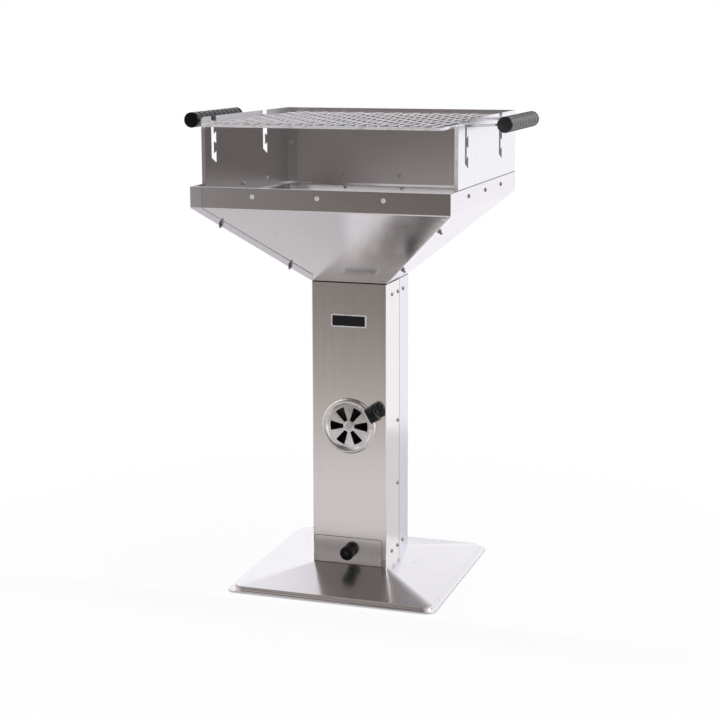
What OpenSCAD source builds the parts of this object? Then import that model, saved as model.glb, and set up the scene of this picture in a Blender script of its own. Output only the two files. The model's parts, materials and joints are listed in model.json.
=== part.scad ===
// Free-standing charcoal barbecue of folded stainless sheet: a square column on a
// pressed base plate, a funnel bowl, a three-sided wind guard and a lift-out grid.
// The front faces -Y, the right side faces +X, and Z is up from the floor.

/* [Sheet steel] */
// Thickness of every folded sheet
sheet_t = 1; // [0.8:0.1:1.4]

/* [Base plate] */
// Width and depth of the base plate
base_w = 450; // [380:1:520]
// Radius of the base plate's corners in plan
base_corner_r = 22; // [15:1:30]
// Height of the outer lip
base_lip_h = 4.5; // [3:0.5:8]
// Width of the flat ledge inside the lip
base_ledge_w = 11; // [8:1:14]
// Height of the riser above the ledge
base_riser_h = 7.5; // [5:0.5:12]
// Height of the sloped crown up to the column
base_slope_h = 25; // [15:1:40]
// Width of the flat hem that rests on the floor
base_hem_w = 8; // [5:1:10]

/* [Column] */
// Width and depth of the column
col_w = 162; // [156:1:190]
// Height of the column above the base plate
col_h = 602; // [560:1:680]
// Distance of the side seam behind the column's middle
seam_back = 11; // [5:1:20]
// How far the rear shell reaches forward inside the front shell
seam_lap = 71; // [66:1:80]
// Height of the collar at the foot
foot_collar_h = 43; // [38:1:52]
// Height of the notch in the front corners of the foot
foot_notch_h = 17; // [12:1:22]

/* [Ash drawer] */
// Width of the drawer's front
drawer_w = 147; // [140:1:147]
// Distance of the drawer's middle to the left of the column's middle
drawer_shift = 2.5; // [0:0.5:2.5]
// Height of the drawer's front
drawer_h = 57.5; // [50:0.5:70]
// Width of the drawer's tray
tray_w = 138; // [120:1:138]
// Depth of the drawer's tray
drawer_d = 146; // [120:1:150]
// Height of the tray's walls
tray_h = 46; // [30:1:48]
// Gap round the drawer's front
drawer_gap = 1; // [0.5:0.1:1.4]
// Radius of the front's upper corners
drawer_corner_r = 5; // [3:1:8]
// Diameter of the drawer's knob
drawer_knob_d = 30; // [24:1:36]
// Length of the drawer's knob
drawer_knob_l = 22; // [18:1:28]
// How far the drawer comes out
drawer_travel = 130; // [80:1:134]

/* [Vent] */
// Height of the vent's centre above the base plate
vent_up = 301; // [240:1:340]
// Radius of the dial
dial_r = 59; // [54:1:64]
// Width of the raised bead round the dial
dial_bead_w = 12; // [8:1:13]
// Outer radius of the air openings
opening_r = 40.7; // [36:0.1:43]
// Radius of the closed hub inside the air openings
hub_r = 12; // [10:0.5:14]
// Half angle of one air opening
opening_half_deg = 13.7; // [10:0.1:14]
// Turn of the openings off the horizontal
opening_turn_deg = 1.1; // [0:0.1:3]
// Direction of the vent's knob, above the horizontal
vent_knob_deg = 30; // [20:1:40]
// Diameter of the vent's knob
vent_knob_d = 34; // [28:1:35]
// Length of the vent's knob
vent_knob_l = 17; // [14:1:22]

/* [Name plate] */
// Width of the blank name plate
plate_w = 76; // [60:1:90]
// Height of the blank name plate
plate_h = 26.5; // [20:0.5:34]
// Height of the plate's middle above the base plate
plate_up = 523.5; // [480:0.5:535]
// Thickness of the plate's frame
plate_t = 2; // [1.5:0.1:3]
// Width of the frame's border
plate_border = 2; // [1.5:0.1:3]
// Radius of the plate's corners
plate_corner_r = 3; // [2.2:0.1:5]

/* [Bowl] */
// Width of the bowl's rim
bowl_w = 532; // [510:1:560]
// Depth of the bowl's rim
bowl_d = 540; // [520:1:570]
// Gap between the column's top and the bowl
neck_gap = 2; // [1.5:0.1:3]
// Height of the bowl's slopes
bowl_h = 164; // [150:1:185]
// Height of the upright band above the slopes
band_h = 42; // [40:1:50]
// Width of the lip on top of the front band
front_lip_w = 6; // [4:1:8]
// Width of the flange that wraps round each corner
wrap_w = 26; // [20:1:32]
// Height of the tapered foot of a flange
wrap_taper_h = 15; // [10:1:25]

/* [Wind guard] */
// Height of the guard's walls
guard_h = 168; // [160:1:190]
// Height of the guard's lower edge above the bowl's rim
guard_up = 7; // [4:1:9]
// Set-back of the guard's front edges from the bowl's front
guard_front_set = 58; // [50:1:62]
// Width of the side walls' rear flanges
guard_flange_w = 26; // [22:1:30]
// Width of the side walls' front hems
guard_hem_w = 8; // [6:1:9]
// Radius of the guard's front upper corners
guard_corner_r = 12; // [8:1:20]

/* [Height slots] */
// Width of a slot's channel
slot_w = 13; // [10:0.5:15]
// Depth of a slot's pockets behind the channel
pocket_w = 12.5; // [10:0.5:14]
// Depth of the highest seat below the guard's top
seat_drop = 17; // [14:0.5:20]
// Distance from one seat to the next
seat_pitch = 39.5; // [37:0.5:42]
// Height of a tooth at its root
tooth_h = 14; // [11:0.5:16]
// Slope of a tooth's edges over the pocket's depth
tooth_rise = 5.2; // [3:0.1:6]
// Fall of the slot's bottom from front to back
slot_fall = 12; // [8:0.5:14]

/* [Cooking grid] */
// Gap between the grid and each side wall of the guard
grid_side_gap = 16.5; // [14:0.5:29]
// Gap between the grid and the rear wall of the guard
grid_rear_gap = 10; // [9:0.5:23]
// Radius of the grid's frame rod
frame_r = 3; // [2.5:0.1:3.5]
// Radius of the frame's corners
frame_corner_r = 9; // [6:1:14]
// Radius of the mesh wires
mesh_r = 1.1; // [0.8:0.1:1.4]
// Pitch of the wires that run from front to back
long_pitch = 21.6; // [18:0.1:30]
// Pitch of the wires that run from side to side
cross_pitch = 32; // [25:0.5:40]
// Height that the grid lifts
grid_travel = 120; // [40:1:200]

/* [Handles] */
// Distance between a handle's two arms
arm_span = 281; // [260:1:300]
// Radius of the handle wires
arm_r = 2.5; // [2:0.1:3]
// Radius of the wires' bends
arm_bend_r = 12; // [8:1:14]
// Distance of a wire's elbow outside the bowl's rim
elbow_out = 5; // [4.5:0.5:10]
// Distance of a grip's axis outside the bowl's rim
grip_out = 65; // [55:1:80]
// Height of a grip's axis above the grid's frame
grip_rise = 2.2; // [0:0.1:4]
// Distance of a grip's middle behind the grid's middle
grip_shift = 8; // [0:1:12]
// Diameter of a grip
grip_d = 32; // [26:1:38]
// Length of a grip
grip_l = 245; // [220:1:248]
// Length of the cap on a grip's end
grip_cap_l = 2.5; // [2:0.5:3]

/* [Charcoal grate] */
// Height of the grate above the bowl's foot
grate_up = 70; // [60:1:85]
// Thickness of the grate
grate_t = 2; // [1.5:0.5:4]
// Width of one grate slot
grate_slot_w = 9; // [6:1:12]
// Pitch of the grate's slots
grate_slot_pitch = 18; // [16:1:24]
// Width of the solid border and middle bar
grate_border = 14; // [10:1:18]
// Height that the grate lifts
grate_travel = 200; // [50:1:210]

/* [Fasteners] */
// Radius of a bolt's shank
bolt_r = 2.5; // [2:0.1:2.8]
// Radius of a bolt's head
bolt_head_r = 4.75; // [4:0.05:5.2]
// Height of a bolt's domed head
bolt_head_h = 2.8; // [2:0.1:3.4]
// Radius over a nut's corners
nut_r = 4.6; // [4:0.1:5]
// Height of a nut
nut_h = 4; // [3:0.1:4.5]
// Length of thread past a nut
thread_over = 1; // [0.5:0.1:2]
// Length of thread past the nuts on the bowl's flanges
wrap_thread_over = 5; // [3:0.5:8]
// Distance between neighbouring column bolts in a row
col_bolt_pitch = 41; // [36:1:46]
// Distance of the end rows of column bolts from the column's ends
col_bolt_inset = 25; // [22:1:30]
// Height of the column's middle bolts above the base plate
mid_bolt_low_up = 164; // [120:1:200]
// Height of the column's upper middle bolts above the base plate
mid_bolt_high_up = 301; // [260:1:340]
// Distance between neighbouring rim bolts
rim_bolt_pitch = 134; // [120:1:145]
// Height of the rim bolts above the rim
rim_bolt_up = 26; // [18:1:27]
// Height of the guard's corner bolts above the rim
guard_bolt_up = 97; // [60:1:140]

/* [Fits] */
// Radial clearance of a bolt in a drilled sheet
hole_clear = 0.3; // [0.2:0.05:0.5]
// Radial clearance between a thread and its nut or knob
thread_clear = 0.05; // [0.02:0.01:0.1]
// Radial clearance of the dial on its rivet
pivot_clear = 0.06; // [0.03:0.01:0.1]
// Gap between moving faces
run_gap = 0.3; // [0.2:0.05:0.5]

/* [Hidden] */
$fn = 48;

// Overrun of every cut
cut = 2;
// Radius of the vent rivet's shank, its head and its head's height
rivet_r = 4;
rivet_head_r = 7;
rivet_head_h = 2;
// Thickness and width of the dial's bent tab
tab_t = 2;
tab_w = 18;
// Width and height of a drawer runner
runner_w = 18;
runner_upright_h = 10;
// Height of the sleeve below the column's top, and of its skirt inside the bowl
sleeve_down = 44;
skirt_h = 13;
// Distance of a handle wire's inner bends from the grip's ends
core_inset = 20;
// How much a wire's bend is thicker than its rods, and the angle that it takes of each
bend_swell = 0.05;
bend_lap_deg = 2;
// Place of the guard's corner bolts, as a share of the flange's width
guard_bolt_share = 0.4;
// Heights of the flange bolts, as shares of the bowl's slopes
wrap_bolt_shares = [0.23, 0.8];
// A knob's rim radius and its foot's and shoulder's heights, as shares of its length
knob_rim_share = 0.2;
knob_foot_share = 0.2;
knob_shoulder_share = 0.45;
// Radius of a knob's foot, as a share of its diameter
knob_waist_share = 0.36;

crown_z = base_lip_h + base_riser_h + base_slope_h;
col_top = crown_z + col_h;
neck_z = col_top + neck_gap;
rim_z = neck_z + bowl_h;
band_top = rim_z + band_h;
skirt_top = neck_z + skirt_h;
guard_z = rim_z + guard_up;
guard_top = guard_z + guard_h;
half_w = bowl_w / 2;
half_d = bowl_d / 2;
col_half = col_w / 2;
base_half = base_w / 2;
vent_z = crown_z + vent_up;
guard_x = half_w - sheet_t;
guard_y = half_d - sheet_t;
guard_front_y = guard_front_set - half_d;
rim_bolt_z = rim_z + rim_bolt_up;
guard_bolt_z = rim_z + guard_bolt_up;
guard_bolt_x = guard_x - guard_flange_w * guard_bolt_share;

// The column's nested surfaces, from the outside in
rear_half = col_half - sheet_t;
collar_half = rear_half - sheet_t;

// Slot places, worked out from where a handle's arms rest
arm_y = arm_span / 2;
arm_seat = arm_r + run_gap;
slot_slope = tooth_rise / pocket_w;
top_seat_z = guard_top - seat_drop;
grip_x = half_w + grip_out;
frame_x = guard_x - sheet_t - grid_side_gap - frame_r;
frame_y = guard_y - sheet_t - grid_rear_gap - frame_r;
// A handle rises from the frame to its grip, so its arms are above the frame at the guard
handle_tilt = atan2(grip_rise, grip_x - frame_x);
arm_rise = (guard_x - sheet_t - frame_x) * tan(handle_tilt);
arm_z = top_seat_z + slot_slope * arm_seat + arm_seat * sqrt(1 + slot_slope * slot_slope);
grid_z = arm_z - arm_rise;
long_z = grid_z + frame_r + mesh_r;
cross_z = long_z - 2 * mesh_r;

// Unit vector along the segment of a line that starts at a point's index
function along(p, i) = (p[i + 1] - p[i]) / norm(p[i + 1] - p[i]);
function left_of(v) = [-v[1], v[0]];
// Offset direction at a point, so that a strip keeps its thickness round each fold
function fold_dir(p, i) =
    let (last = len(p) - 1,
         a = left_of(along(p, max(i - 1, 0))),
         b = left_of(along(p, min(i, last - 1))))
    (a + b) / (1 + a * b);
function moved(p, d) = [for (i = [0 : len(p) - 1]) p[i] + fold_dir(p, i) * d];
function backwards(p) = [for (i = [len(p) - 1 : -1 : 0]) p[i]];
function strip(p, t) = concat(p, backwards(moved(p, t)));
function both_sides(p) = concat(p, [for (q = backwards(p)) [-q[0], q[1]]]);
// Profile line of a bowl sheet, from its foot up: distance out, height
function sheet_line(half) = [[col_half, neck_z], [half, rim_z], [half, band_top]];
// Distance out of a bowl sheet's outer face at a height on its slope
function edge_at(half, z) = col_half + (half - col_half) * (z - neck_z) / bowl_h;
// Distance out that a slope's thickness takes when it is measured level
function level_t(half) = sheet_t * norm([bowl_h, half - col_half]) / bowl_h;
// Half size of the bowl's rim towards its sheet i, counted anticlockwise from the right
function out_half(i) = i % 2 == 0 ? half_w : half_d;
// Rear edge of a slot whose arm rests at y
function slot_back(y) = y + arm_seat;

module along_x(from, to) translate([from, 0, 0]) rotate([90, 0, 90]) linear_extrude(to - from) children();
module along_y(from, to) translate([0, to, 0]) rotate([90, 0, 0]) linear_extrude(to - from) children();
module two_sides() {
    children();
    mirror([1, 0, 0]) children();
}
module two_ends() {
    children();
    mirror([0, 1, 0]) children();
}
module box_between(a, b) translate(a) cube(b - a);
module square_between(a, b) translate(a) square(b - a);

module rounded_square(half, r) {
    square([2 * half, 2 * (half - r)], center = true);
    square([2 * (half - r), 2 * half], center = true);
    for (x = [r - half, half - r], y = [r - half, half - r])
        translate([x, y]) circle(r);
}

// A bolt through a grip length: the head's seat is at zero, the shank goes down
module bolt(grip, over = nut_h + thread_over) {
    dome_r = (bolt_head_r * bolt_head_r + bolt_head_h * bolt_head_h) / (2 * bolt_head_h);
    intersection() {
        cylinder(h = bolt_head_h, r = bolt_head_r);
        translate([0, 0, bolt_head_h - dome_r]) sphere(dome_r, $fn = 96);
    }
    translate([0, 0, -grip - over]) cylinder(h = grip + over + bolt_head_h / 2, r = bolt_r);
}
module nut(grip) {
    translate([0, 0, -grip - nut_h])
        difference() {
            cylinder(h = nut_h, r = nut_r, $fn = 6);
            translate([0, 0, -cut]) cylinder(h = nut_h + 2 * cut, r = bolt_r + thread_clear);
        }
}
module drill(depth) translate([0, 0, -depth - cut]) cylinder(h = depth + 2 * cut, r = bolt_r + hole_clear);

module base_form(skin) {
    step_half = base_half - base_ledge_w;
    step_z = base_lip_h + base_riser_h;
    linear_extrude(base_lip_h - skin) rounded_square(base_half - skin, base_corner_r - skin);
    linear_extrude(step_z - skin) rounded_square(step_half - skin, base_corner_r - base_ledge_w / 2 - skin);
    edge = step_half - skin;
    crown = both_sides([[edge, 0], [edge, step_z - skin], [col_half, crown_z - skin]]);
    intersection() {
        along_y(-base_half, base_half) polygon(crown);
        along_x(-base_half, base_half) polygon(crown);
        linear_extrude(crown_z) rounded_square(step_half - skin, base_corner_r - base_ledge_w / 2 - skin);
    }
}
module base_plate() {
    color("lightgray") {
        difference() {
            base_form(0);
            base_form(sheet_t);
            translate([0, 0, -cut]) linear_extrude(cut) square(base_w, center = true);
        }
        linear_extrude(sheet_t)
            difference() {
                rounded_square(base_half, base_corner_r);
                rounded_square(base_half - base_hem_w, base_corner_r - base_hem_w);
            }
    }
}

module base_collar() {
    return_x = drawer_w / 2 + drawer_gap;
    color("silver")
        difference() {
            translate([0, 0, crown_z])
                linear_extrude(foot_collar_h)
                    difference() {
                        square_between([-collar_half, sheet_t - col_half], [collar_half, rear_half]);
                        square_between([sheet_t - collar_half, 2 * sheet_t - col_half],
                                       [collar_half - sheet_t, rear_half - sheet_t]);
                        square_between([-return_x - drawer_shift, -col_half], [return_x - drawer_shift, 0]);
                    }
            side_drills();
        }
}

// Places of the column's side bolts: y, height, layers of sheet under the head
function outer_at(y) = y < seam_back ? col_half : rear_half;
col_bolt_rows = [crown_z + col_bolt_inset, col_top - col_bolt_inset];
mid_bolt_rows = [crown_z + mid_bolt_low_up, crown_z + mid_bolt_high_up];
module at_side(y, z) two_sides() translate([outer_at(y), y, z]) rotate([0, 90, 0]) children();
module side_drills() {
    for (z = col_bolt_rows, i = [-1, 0, 1])
        at_side(i * col_bolt_pitch, z) drill(3 * sheet_t);
    for (z = mid_bolt_rows)
        at_side(0, z) drill(3 * sheet_t);
}
module column_bolts() {
    color("gainsboro") {
        for (z = col_bolt_rows, i = [-1, 0, 1])
            at_side(i * col_bolt_pitch, z) bolt(outer_at(i * col_bolt_pitch) - collar_half + sheet_t);
        for (z = mid_bolt_rows)
            at_side(0, z) bolt(2 * sheet_t);
    }
}
module column_nuts() {
    color("darkgray") {
        for (z = col_bolt_rows, i = [-1, 0, 1])
            at_side(i * col_bolt_pitch, z) nut(outer_at(i * col_bolt_pitch) - collar_half + sheet_t);
        for (z = mid_bolt_rows)
            at_side(0, z) nut(2 * sheet_t);
    }
}

module air_openings() {
    for (i = [0 : 5])
        rotate(60 * i + opening_turn_deg)
            intersection() {
                difference() {
                    circle(opening_r);
                    circle(hub_r);
                }
                polygon([
                    [0, 0], [col_w, -col_w * tan(opening_half_deg)], [col_w, col_w * tan(opening_half_deg)]
                ]);
            }
}
// Turns a flat outline in x and height to lie at the vent, facing the front
module at_vent() translate([0, 0, vent_z]) rotate([90, 0, 0]) children();

module drawer_outline(grow) {
    left = -drawer_w / 2 - drawer_shift - grow;
    right = drawer_w / 2 - drawer_shift + grow;
    low = crown_z + drawer_gap - grow;
    high = crown_z + drawer_gap + drawer_h + grow;
    r = drawer_corner_r + grow;
    square_between([left, low], [right, high - r]);
    square_between([left + r, low], [right - r, high]);
    for (x = [left + r, right - r])
        translate([x, high - r]) circle(r);
}

module column_front() {
    color("silver")
        difference() {
            translate([0, 0, crown_z])
                linear_extrude(col_h)
                    difference() {
                        square_between([-col_half, -col_half], [col_half, seam_back]);
                        square_between([-rear_half, -rear_half], [rear_half, seam_back + cut]);
                    }
            along_y(-col_half - cut, cut - rear_half) drawer_outline(drawer_gap);
            box_between([-rear_half, -col_half - cut, crown_z - cut],
                        [rear_half, -rear_half, crown_z + foot_notch_h]);
            translate([0, -col_half + sheet_t + cut, 0])
                at_vent() linear_extrude(sheet_t + 2 * cut) air_openings();
            translate([0, -col_half + sheet_t + cut, 0])
                at_vent() cylinder(h = sheet_t + 2 * cut, r = rivet_r + pivot_clear);
            side_drills();
        }
}
module column_rear() {
    color("silver")
        difference() {
            translate([0, 0, crown_z])
                linear_extrude(col_h)
                    difference() {
                        square_between([-rear_half, seam_back - seam_lap], [rear_half, col_half]);
                        square_between([-collar_half, seam_back - seam_lap - cut], [collar_half, rear_half]);
                    }
            side_drills();
        }
}
// Profile line of the top collar: up the sleeve, then out along the bowl's inner face
function collar_line(half, over) =
    let (bend_z = neck_z + (collar_half - col_half + level_t(half)) * bowl_h / (half - col_half),
         top = skirt_top + over)
    [
        [collar_half, col_top - sleeve_down - over], [collar_half, bend_z],
        [edge_at(half, top) - level_t(half), top]
    ];
module collar_form(skin, over) {
    intersection() {
        along_y(-half_d, half_d) polygon(both_sides(moved(collar_line(half_w, over), skin)));
        along_x(-half_w, half_w) polygon(both_sides(moved(collar_line(half_d, over), skin)));
    }
}
module top_collar() {
    color("gray")
        difference() {
            collar_form(0, 0);
            collar_form(sheet_t, cut);
            side_drills();
        }
}

module drawer_runners() {
    upright_x = tray_w / 2 + run_gap;
    color("darkgray") {
        two_sides()
            box_between([collar_half - sheet_t - runner_w, 3 * sheet_t - col_half, crown_z],
                        [collar_half - sheet_t, rear_half - 2 * sheet_t, crown_z + sheet_t]);
        translate([-drawer_shift, 0, 0])
            two_sides()
                box_between([upright_x, 3 * sheet_t - col_half, crown_z],
                            [upright_x + sheet_t, rear_half - 2 * sheet_t, crown_z + runner_upright_h]);
    }
}
drawer_low = crown_z + drawer_gap;
drawer_knob_z = drawer_low + drawer_h / 2;
module ash_drawer() {
    tray_half = tray_w / 2;
    tray_back = drawer_d - rear_half;
    color("silver")
        difference() {
            union() {
                along_y(-col_half, -rear_half) drawer_outline(0);
                translate([-drawer_shift, 0, 0])
                    difference() {
                        box_between([-tray_half, -rear_half, drawer_low],
                                    [tray_half, tray_back, drawer_low + tray_h]);
                        box_between([sheet_t - tray_half, -rear_half, drawer_low + sheet_t],
                                    [tray_half - sheet_t, tray_back - sheet_t, drawer_low + tray_h + cut]);
                    }
            }
            at_drawer_knob() drill(sheet_t);
        }
}
module at_drawer_knob() translate([0, -col_half, drawer_knob_z]) rotate([90, 0, 0]) children();
// A turned knob with a narrower foot and a rounded rim, standing on zero
module knob(d, l) {
    rim = l * knob_rim_share;
    waist = d * knob_waist_share;
    foot = l * knob_foot_share;
    shoulder = l * knob_shoulder_share;
    difference() {
        rotate_extrude() {
            square([waist, l]);
            square_between([0, shoulder], [d / 2 - rim, l]);
            square_between([0, shoulder], [d / 2, l - rim]);
            translate([d / 2 - rim, l - rim]) circle(rim);
            polygon([[0, foot], [waist, foot], [d / 2, shoulder], [0, shoulder]]);
        }
        translate([0, 0, -cut]) cylinder(h = l + 2 * cut, r = bolt_r + thread_clear);
    }
}
module drawer_knob() color("black") at_drawer_knob() knob(drawer_knob_d, drawer_knob_l);
module drawer_screw() {
    color("silver") {
        at_drawer_knob() translate([0, 0, drawer_knob_l]) bolt(drawer_knob_l + sheet_t);
        at_drawer_knob() translate([0, 0, drawer_knob_l]) nut(drawer_knob_l + sheet_t);
    }
}

dial_back = run_gap;
module vent_dial() {
    bead_mid = dial_r - dial_bead_w / 2;
    bead_out = dial_bead_w / 2;
    color("gainsboro") {
        translate([0, -col_half - dial_back, 0]) at_vent() {
            difference() {
                cylinder(h = sheet_t, r = bead_mid - bead_out + sheet_t);
                translate([0, 0, -cut]) cylinder(h = sheet_t + 2 * cut, r = rivet_r + pivot_clear);
                translate([0, 0, -cut]) linear_extrude(sheet_t + 2 * cut) air_openings();
            }
            rotate_extrude($fn = 96)
                intersection() {
                    translate([bead_mid, 0])
                        difference() {
                            circle(bead_out);
                            circle(bead_out - sheet_t);
                        }
                    square_between([0, 0], [2 * dial_r, dial_r]);
                }
            rotate(vent_knob_deg)
                difference() {
                    box_between([dial_r - sheet_t, -tab_w / 2, 0], [tab_out, tab_w / 2, tab_h]);
                    at_tab() drill(tab_t);
                }
        }
    }
}
tab_out = dial_r - sheet_t + tab_t;
vent_knob_y = vent_knob_d / 2 + sheet_t;
tab_h = vent_knob_y + tab_w / 2;
module at_tab() translate([tab_out, 0, vent_knob_y]) rotate([0, 90, 0]) children();
module vent_rivet() {
    grip = sheet_t + dial_back + sheet_t + run_gap;
    color("silver")
        translate([0, -rear_half, 0]) at_vent() {
            cylinder(h = grip + rivet_head_h, r = rivet_r);
            translate([0, 0, grip]) cylinder(h = rivet_head_h, r = rivet_head_r);
            translate([0, 0, -rivet_head_h]) cylinder(h = rivet_head_h, r = rivet_head_r);
        }
}
module at_vent_knob() {
    translate([0, -col_half - dial_back, 0]) at_vent() rotate(vent_knob_deg) at_tab() children();
}
module vent_knob() color("black") at_vent_knob() knob(vent_knob_d, vent_knob_l);
module vent_screw() {
    color("silver") {
        at_vent_knob() translate([0, 0, vent_knob_l]) bolt(vent_knob_l + tab_t);
        at_vent_knob() translate([0, 0, vent_knob_l]) nut(vent_knob_l + tab_t);
    }
}

module plate_outline(less) {
    w = plate_w / 2 - less;
    h = plate_h / 2 - less;
    r = plate_corner_r - less;
    square([2 * w, 2 * (h - r)], center = true);
    square([2 * (w - r), 2 * h], center = true);
    for (x = [r - w, w - r], y = [r - h, h - r])
        translate([x, y]) circle(r);
}
module at_plate() translate([0, -col_half, crown_z + plate_up]) rotate([90, 0, 0]) children();
module name_plate_frame() {
    color("silver")
        at_plate() linear_extrude(plate_t)
            difference() {
                plate_outline(0);
                plate_outline(plate_border);
            }
}
module name_plate_face() color("black") at_plate() linear_extrude(plate_t / 2) plate_outline(plate_border);

// A bowl sheet that faces +X, with the flange that lies on its neighbour, which faces +Y
module folded_sheet(out, side) {
    wrapped = moved(sheet_line(side), -sheet_t);
    stopped = moved(sheet_line(side), sheet_t);
    taper_z = neck_z + wrap_taper_h;
    foot_w = 2 * sheet_t;
    intersection() {
        along_y(-side, side + sheet_t) polygon(strip(sheet_line(out), sheet_t));
        along_x(0, out)
            polygon(concat([[sheet_t - col_half, neck_z - cut], [col_half, neck_z - cut]], wrapped,
                           [for (p = backwards(stopped)) [-p[0], p[1]]]));
    }
    intersection() {
        along_x(0, out) polygon(strip(wrapped, sheet_t));
        along_y(0, side + sheet_t)
            polygon([
                [col_half, neck_z], [out, rim_z], [out, band_top], [out - wrap_w, band_top],
                [out - wrap_w, rim_z], [edge_at(out, taper_z) - wrap_w, taper_z], [col_half - foot_w, neck_z]
            ]);
    }
}
// Bolts through the flanges: each one's head is inside and its nut outside
module at_wraps() {
    for (i = [0 : 3], share = wrap_bolt_shares) {
        side = out_half(i + 1);
        z = neck_z + bowl_h * share;
        rotate(90 * i)
            translate([edge_at(out_half(i), z) - wrap_w / 2, edge_at(side, z), z])
                rotate([atan2(bowl_h, side - col_half), 0, 0])
                    translate([0, 0, sheet_t]) children();
    }
}
module rim_side_places() {
    for (i = [-1, 0, 1])
        two_sides() translate([half_w, i * rim_bolt_pitch, rim_bolt_z]) rotate([0, 90, 0]) children();
}
module rim_end_places(end) {
    for (i = [-1, 0, 1])
        translate([i * rim_bolt_pitch, end * half_d, rim_bolt_z]) rotate([-end * 90, 0, 0]) children();
}
module rim_drills() {
    rim_side_places() drill(2 * sheet_t);
    for (end = [-1, 1])
        rim_end_places(end) drill(2 * sheet_t);
}
module bowl_sheet(i) {
    difference() {
        rotate(90 * i) folded_sheet(out_half(i), out_half(i + 1));
        rim_drills();
        at_wraps() drill(2 * sheet_t);
    }
}
module bowl_right() color("gainsboro") bowl_sheet(0);
module bowl_rear() color("lightgray") bowl_sheet(1);
module bowl_left() color("gainsboro") bowl_sheet(2);
module bowl_front() {
    color("lightgray") {
        bowl_sheet(3);
        box_between([sheet_t - half_w, -half_d, band_top - sheet_t],
                    [half_w - sheet_t, front_lip_w - half_d, band_top]);
    }
}
module bowl_bolts() color("gainsboro") at_wraps() bolt(2 * sheet_t, nut_h + wrap_thread_over);
module bowl_nuts() color("darkgray") at_wraps() nut(2 * sheet_t);
module rim_bolts() {
    color("gainsboro") {
        rim_side_places() bolt(2 * sheet_t);
        rim_end_places(1) bolt(2 * sheet_t);
        rim_end_places(-1) bolt(sheet_t);
    }
}
module rim_nuts() {
    color("darkgray") {
        rim_side_places() nut(2 * sheet_t);
        rim_end_places(1) nut(2 * sheet_t);
        rim_end_places(-1) nut(sheet_t);
    }
}

// Outline in y and height of one slot whose pockets' backs are at y
module height_slot(back) {
    edge = back - pocket_w;
    front = edge - slot_w;
    tooth_1 = top_seat_z - tooth_h;
    seat_2 = top_seat_z - seat_pitch;
    tooth_2 = seat_2 - tooth_h;
    seat_3 = seat_2 - seat_pitch;
    polygon([
        [front, guard_top + cut], [front, seat_3 + slot_fall], [back, seat_3],
        [back, tooth_2], [edge, tooth_2 - tooth_rise], [edge, seat_2 + tooth_rise], [back, seat_2],
        [back, tooth_1], [edge, tooth_1 - tooth_rise], [edge, top_seat_z + tooth_rise], [back, top_seat_z],
        [back, guard_top + cut]
    ]);
}
module guard_side() {
    corner_y = guard_front_y + guard_corner_r;
    corner_z = guard_top - guard_corner_r;
    difference() {
        union() {
            along_x(guard_x - sheet_t, guard_x) {
                square_between([corner_y, guard_z], [guard_y - sheet_t, guard_top]);
                square_between([guard_front_y, guard_z], [corner_y + sheet_t, corner_z]);
                translate([corner_y, corner_z]) circle(guard_corner_r);
            }
            box_between([guard_x - guard_flange_w, guard_y - 2 * sheet_t, guard_z],
                        [guard_x, guard_y - sheet_t, guard_top]);
            box_between([guard_x - guard_hem_w, guard_front_y, guard_z],
                        [guard_x, guard_front_y + sheet_t, corner_z]);
        }
        along_x(guard_x - sheet_t - cut, guard_x + cut) {
            height_slot(slot_back(-arm_y));
            height_slot(slot_back(arm_y));
        }
        rim_drills();
        guard_drills();
    }
}
module guard_bolt_places() {
    two_sides() translate([guard_bolt_x, guard_y, guard_bolt_z]) rotate([-90, 0, 0]) children();
}
module guard_drills() guard_bolt_places() drill(2 * sheet_t);
module guard_right() color("silver") guard_side();
module guard_left() color("silver") mirror([1, 0, 0]) guard_side();
module guard_rear() {
    color("silver")
        difference() {
            box_between([-guard_x, guard_y - sheet_t, guard_z], [guard_x, guard_y, guard_top]);
            rim_drills();
            guard_drills();
        }
}
module guard_bolts() color("gainsboro") guard_bolt_places() bolt(2 * sheet_t);
module guard_nuts() color("darkgray") guard_bolt_places() nut(2 * sheet_t);

module rod_x(x0, x1, y, z, r) translate([x0, y, z]) rotate([0, 90, 0]) cylinder(h = x1 - x0, r = r);
module rod_y(y0, y1, x, z, r) translate([x, y1, z]) rotate([90, 0, 0]) cylinder(h = y1 - y0, r = r);
module rod_corner(x, y, z, bend, r) {
    translate([x, y, z]) rotate_extrude(angle = 90) translate([bend, 0]) circle(r);
}
module grid_frame() {
    bx = frame_x - frame_corner_r;
    by = frame_y - frame_corner_r;
    color("silver") {
        two_ends() rod_x(-bx, bx, frame_y, grid_z, frame_r);
        two_sides() rod_y(-by, by, frame_x, grid_z, frame_r);
        two_sides() two_ends() rod_corner(bx, by, grid_z, frame_corner_r, frame_r);
    }
}
// Counts of whole pitches that fit between the frame's rods
long_count = floor(2 * (frame_x - frame_corner_r) / long_pitch);
cross_count = floor(2 * (frame_y - frame_corner_r) / cross_pitch);
module grid_long_wires() {
    color("silver")
        for (i = [0 : long_count])
            rod_y(-frame_y, frame_y, (i - long_count / 2) * long_pitch, long_z, mesh_r);
}
module grid_cross_wires() {
    reach = frame_x - frame_r;
    color("silver")
        for (i = [0 : cross_count])
            rod_x(-reach, reach, (i - cross_count / 2) * cross_pitch, cross_z, mesh_r);
}
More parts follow.
